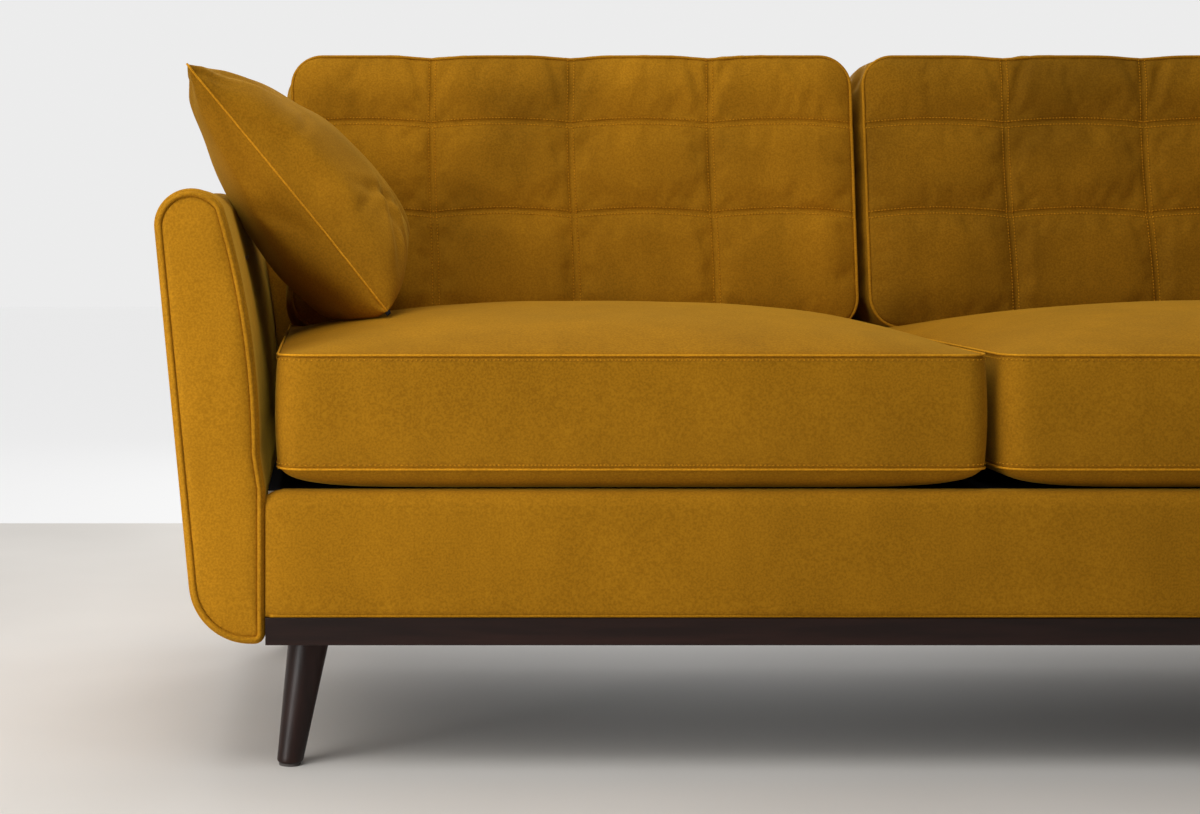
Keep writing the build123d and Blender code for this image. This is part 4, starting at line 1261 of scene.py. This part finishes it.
def make_back_cushion(side, seed):
    """A boxed, piped cushion on the lean, its front puffed between three upright and two level twin seams."""
    name = side_name(side)
    body = f"back_cushion_{name}"
    xs = seam_lines(-cushion_half_x, cushion_half_x, upright_seams)
    ys = seam_lines(-cushion_half_v, cushion_half_v, level_seams)
    form = BoxedForm(xs, ys, cushion_layers)
    flat = form.flat_points()
    on_front = np.zeros(len(flat), bool)
    on_front[form.front.ravel()] = True
    x, v, w = cushion_places(form, on_front, seed)
    place = leaning(side * (cushion_middle_x + x), v, w)
    cushion = form.cover(f"back_cushion_velvet_{name}", place, side)
    three_lines = (-seam_half, 0, seam_half)
    sewn = on_lines(form.x, upright_seams, three_lines) | on_lines(form.y, level_seams, three_lines)
    under = np.where(flat[:, 1] <= -cushion_half_v + 1e-6)[0]
    held = np.unique(
        np.concatenate([form.rings[0], form.rings[-1], form.rear.ravel(), form.front[sewn].ravel(), under])
    )
    fill_cover(cushion, held, 2.2, -0.020, 0.0050, 16)
    points = read_points(cushion)
    free = np.setdiff1d(np.arange(len(points)), held)
    points[free] += 0.0010 * soft_noise(points[free], 0.10, seed)[:, None] * forward
    points += (cushion_folds(flat[:, 0], flat[:, 1]) * on_front)[:, None] * forward
    write_points(cushion, points)

    zip_low, zip_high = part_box(f"back_cushion_zip_{name}")
    zip_y = points[under][:, 1].mean()
    zip_z = points[under][:, 2].min() - 0.0004
    zip_x = np.linspace(zip_low.x, zip_high.x, 60)
    zip_path = np.stack([zip_x, np.full(60, zip_y), np.full(60, zip_z)], axis=1)
    downwards = np.array([0, 0, -1.0])
    make_zip(f"back_cushion_zip_piece_{name}", zip_path, downwards, body, f"back_cushion_zip_{name}")
    make_cushion_stitches(name, form, xs, ys, points)
    for label, ring in (("front", form.rings[0]), ("rear", form.rings[-1])):
        path = resample(points[ring], 420)
        cord = tube(f"back_cushion_{label}_piping_{name}", path, 0.0021, closed=True, around=8)
        finish_piece(cord, body, piping_velvet, "piping_velvet")
    subdivide(cushion)
    # The cover takes its side's darkened velvet copy, which paints shade into its colour.
    finish_piece(cushion, body, velvet_backs_painted_shade[name], "velvet", f"back_cushion_cover_{name}",
                 f"back_cushion_filling_{name}")


# ---- scatter cushions ------------------------------------------------------------------------------------
scatter_half = 0.378 / 2
scatter_tilt = radians(51.0)
scatter_pull_in = 0.085
scatter_count = 60
resting_gap = 0.0015
# each fold's start and end as (depth, climb), its depth and its width
scatter_folds = (
    ((-0.165, -0.165), (-0.060, -0.045), 0.0060, 0.0085),
    ((-0.150, -0.040), (-0.040, -0.120), 0.0045, 0.0075),
    ((-0.120, -0.180), (-0.095, -0.070), 0.0050, 0.0070),
    ((-0.020, -0.178), (-0.045, -0.060), 0.0048, 0.0080),
    ((0.070, -0.176), (0.030, -0.050), 0.0045, 0.0090),
    ((0.150, -0.165), (0.080, -0.080), 0.0050, 0.0080),
    ((-0.160, 0.165), (-0.085, 0.100), 0.0035, 0.0070),
    ((0.160, 0.165), (0.085, 0.095), 0.0035, 0.0070),
    ((-0.175, 0.040), (-0.090, 0.055), 0.0028, 0.0060),
    ((-0.176, -0.080), (-0.100, -0.060), 0.0034, 0.0060),
)


def scatter_panels():
    """Local points (depth, climb, face) of both panels, their faces, and the front panel's point numbers.

    With p rising from 0 at the lower edge to 1 at the upper, each panel stands out by p^m (1 - p)^n, blunt
    below and thin above, times a lens across the depth. Between its corners the sewn edge pulls in by
    (1 - s^2)^1.5.
    """
    lines = np.sin(np.linspace(-pi / 2, pi / 2, scatter_count))
    a, b = np.meshgrid(lines, lines)
    depth = a * scatter_half * (1.03 - scatter_pull_in * (1 - b**2) ** 1.5)
    climb = b * scatter_half * (1.0 - scatter_pull_in * (1 - a**2) ** 1.5)
    p = np.clip((b + 1) / 2, 0, 1)
    lens = np.clip(1 - np.abs(a) ** 2.2, 0, 1) ** 0.55
    upper = 0.183 * p**0.35 * (1 - p) ** 0.68 * lens
    lower = -0.114 * p**0.20 * (1 - p) ** 0.60 * lens
    front = np.arange(scatter_count**2).reshape(scatter_count, scatter_count)
    rear = front.copy()
    inner = rear[1:-1, 1:-1]
    rear[1:-1, 1:-1] = scatter_count**2 + np.arange(inner.size).reshape(inner.shape)
    upper_points = np.stack([depth, climb, upper], axis=-1).reshape(-1, 3)
    lower_points = np.stack([depth, climb, lower], axis=-1)[1:-1, 1:-1].reshape(-1, 3)
    faces = np.concatenate([lattice_faces(front), lattice_faces(rear)[:, ::-1]])
    return np.concatenate([upper_points, lower_points]), faces.tolist(), front


def lay_against(thing, *surfaces):
    """Moves each point inside a surface, or nearer to it than resting_gap, out to that gap, by Shrinkwrap."""
    for surface in surfaces:
        wrap = thing.modifiers.new("lie", "SHRINKWRAP")
        wrap.target = surface
        wrap.wrap_method = "NEAREST_SURFACEPOINT"
        wrap.wrap_mode = "OUTSIDE"
        wrap.offset = resting_gap
    points = shaped_points(thing)
    thing.modifiers.clear()
    write_points(thing, points)


def make_scatter(side, seat, seed):
    """A square cushion of two panels sewn at the edge, leaned on the arm with its fill sunk low."""
    name = side_name(side)
    body = f"scatter_cushion_{name}"
    local, faces, front = scatter_panels()
    pillow = make_object(f"scatter_cushion_velvet_{name}", local, faces)
    edge = edge_of(front)
    fill_cover(pillow, edge[:: scatter_count - 1], 1.6, -0.015, 0.009, 16)
    local = read_points(pillow)
    facing_up = local[:, 2] > 0.012
    for start, end, deep, wide in scatter_folds:
        local[:, 2] += crease(local[:, 0], local[:, 1], start, end, deep, wide) * facing_up
    local[:, 2] += 0.0018 * soft_noise(local, 0.09, seed) * (np.abs(local[:, 2]) > 0.01)

    climb_dir = np.array([side * cos(scatter_tilt), 0, sin(scatter_tilt)])
    face_dir = np.array([-side * sin(scatter_tilt), 0, cos(scatter_tilt)])
    middle_y = (scatter_low.y + scatter_high.y) / 2
    foot = np.array([side * (border_end - 0.138), middle_y, scatter_low.z + 0.004])
    centre = foot + climb_dir * scatter_half
    depth_part = local[:, :1] * np.array([0, 1.0, 0])
    write_points(pillow, centre + depth_part + local[:, 1:2] * climb_dir + local[:, 2:] * face_dir)
    lay_against(pillow, seat, bpy.data.objects[f"arm_cover_velvet_{name}"])
    face_outwards(pillow)

    world = read_points(pillow)
    zip_path = resample(world[front[0, 2:-2]], 60, closed=False) - 0.0006 * climb_dir
    make_zip(f"scatter_cushion_zip_piece_{name}", zip_path, -climb_dir, body, f"scatter_cushion_zip_{name}")
    # A bright thread cord round the sewn edge: a painted highlight along the edge seam.
    rim = tube(f"scatter_cushion_edge_seam_{name}", resample(world[edge], 300), 0.0015, closed=True, around=6)
    finish_piece(rim, body, thread_and_seam_highlight, "piping_velvet")
    subdivide(pillow)
    # The pillow takes the darkened velvet copy, which paints shade into its colour.
    finish_piece(pillow, body, velvet_scatter_painted_shade, "velvet", f"scatter_cushion_cover_{name}",
                 f"scatter_cushion_pad_{name}")


# ---- legs and the rest of the frame ----------------------------------------------------------------------


def make_leg(node, name):
    """A turned leg: circles along its splayed axis, tapering evenly to a small round at the foot."""
    low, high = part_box(node)
    mesh_points = read_points(nodes[node])
    top = mesh_points[mesh_points[:, 2] > high.z - 0.0005]
    foot = mesh_points[mesh_points[:, 2] < low.z + 0.0005]
    top_middle = (top.max(axis=0) + top.min(axis=0)) / 2
    foot_middle = (foot.max(axis=0) + foot.min(axis=0)) / 2
    top_radius = (top[:, 0].max() - top[:, 0].min()) / 2
    sole_radius = (foot[:, 0].max() - foot[:, 0].min()) / 2
    t = np.concatenate([[0, 0.004, 0.010, 0.018], np.linspace(0.04, 0.985, 26), [0.992, 1.0]])
    radius = sole_radius + (top_radius - sole_radius) * t
    radius -= 0.0022 * np.clip(1 - t / 0.018, 0, 1) ** 2
    angle = np.linspace(0, 2 * pi, 48, endpoint=False)
    axis_points = foot_middle + t[:, None] * (top_middle - foot_middle)
    circle = np.stack([np.cos(angle), np.sin(angle), np.zeros(48)], axis=1)
    leg = skin_rings(name, axis_points[:, None] + radius[:, None, None] * circle[None])
    finish_piece(leg, "base", dark_wood_upright, "dark_wood", node)


def dress_frame():
    """Gives the frame's own nodes their finishes, by the record's material slots."""
    finishes = {
        "velvet": velvet,
        "piping_velvet": piping_velvet,
        "dark_wood": dark_wood_along,
        "frame_timber": timber,
        "foam": foam,
        "filling": filling,
        "spring_steel": spring_steel,
        "fittings_steel": fittings_steel,
        "black_cloth": black_cloth,
        "webbing": webbing_cloth,
        "felt": felt,
        "zip": zip_plastic,
    }
    for part in frame["record"]["subparts"]:
        thing = nodes[part["node"]]
        for slot in thing.material_slots:
            slot.material = finishes[part["material_slot"]]


make_camera()
make_floor()
make_lights()
make_surroundings()
dress_frame()
make_arms()
make_border()
make_deck()
make_dust_cover()
make_outer_back()
make_back_skirt()
make_back_piping()
for side_sign, first_seed in ((-1, 31), (1, 47)):
    seat_piece = make_seat_cushion(side_sign, first_seed)
    make_back_cushion(side_sign, first_seed + 1)
    make_scatter(side_sign, seat_piece, first_seed + 2)
for end_name in ("front", "rear"):
    for side_word in ("left", "right"):
        make_leg(f"leg_{end_name}_{side_word}", f"turned_leg_{end_name}_{side_word}")
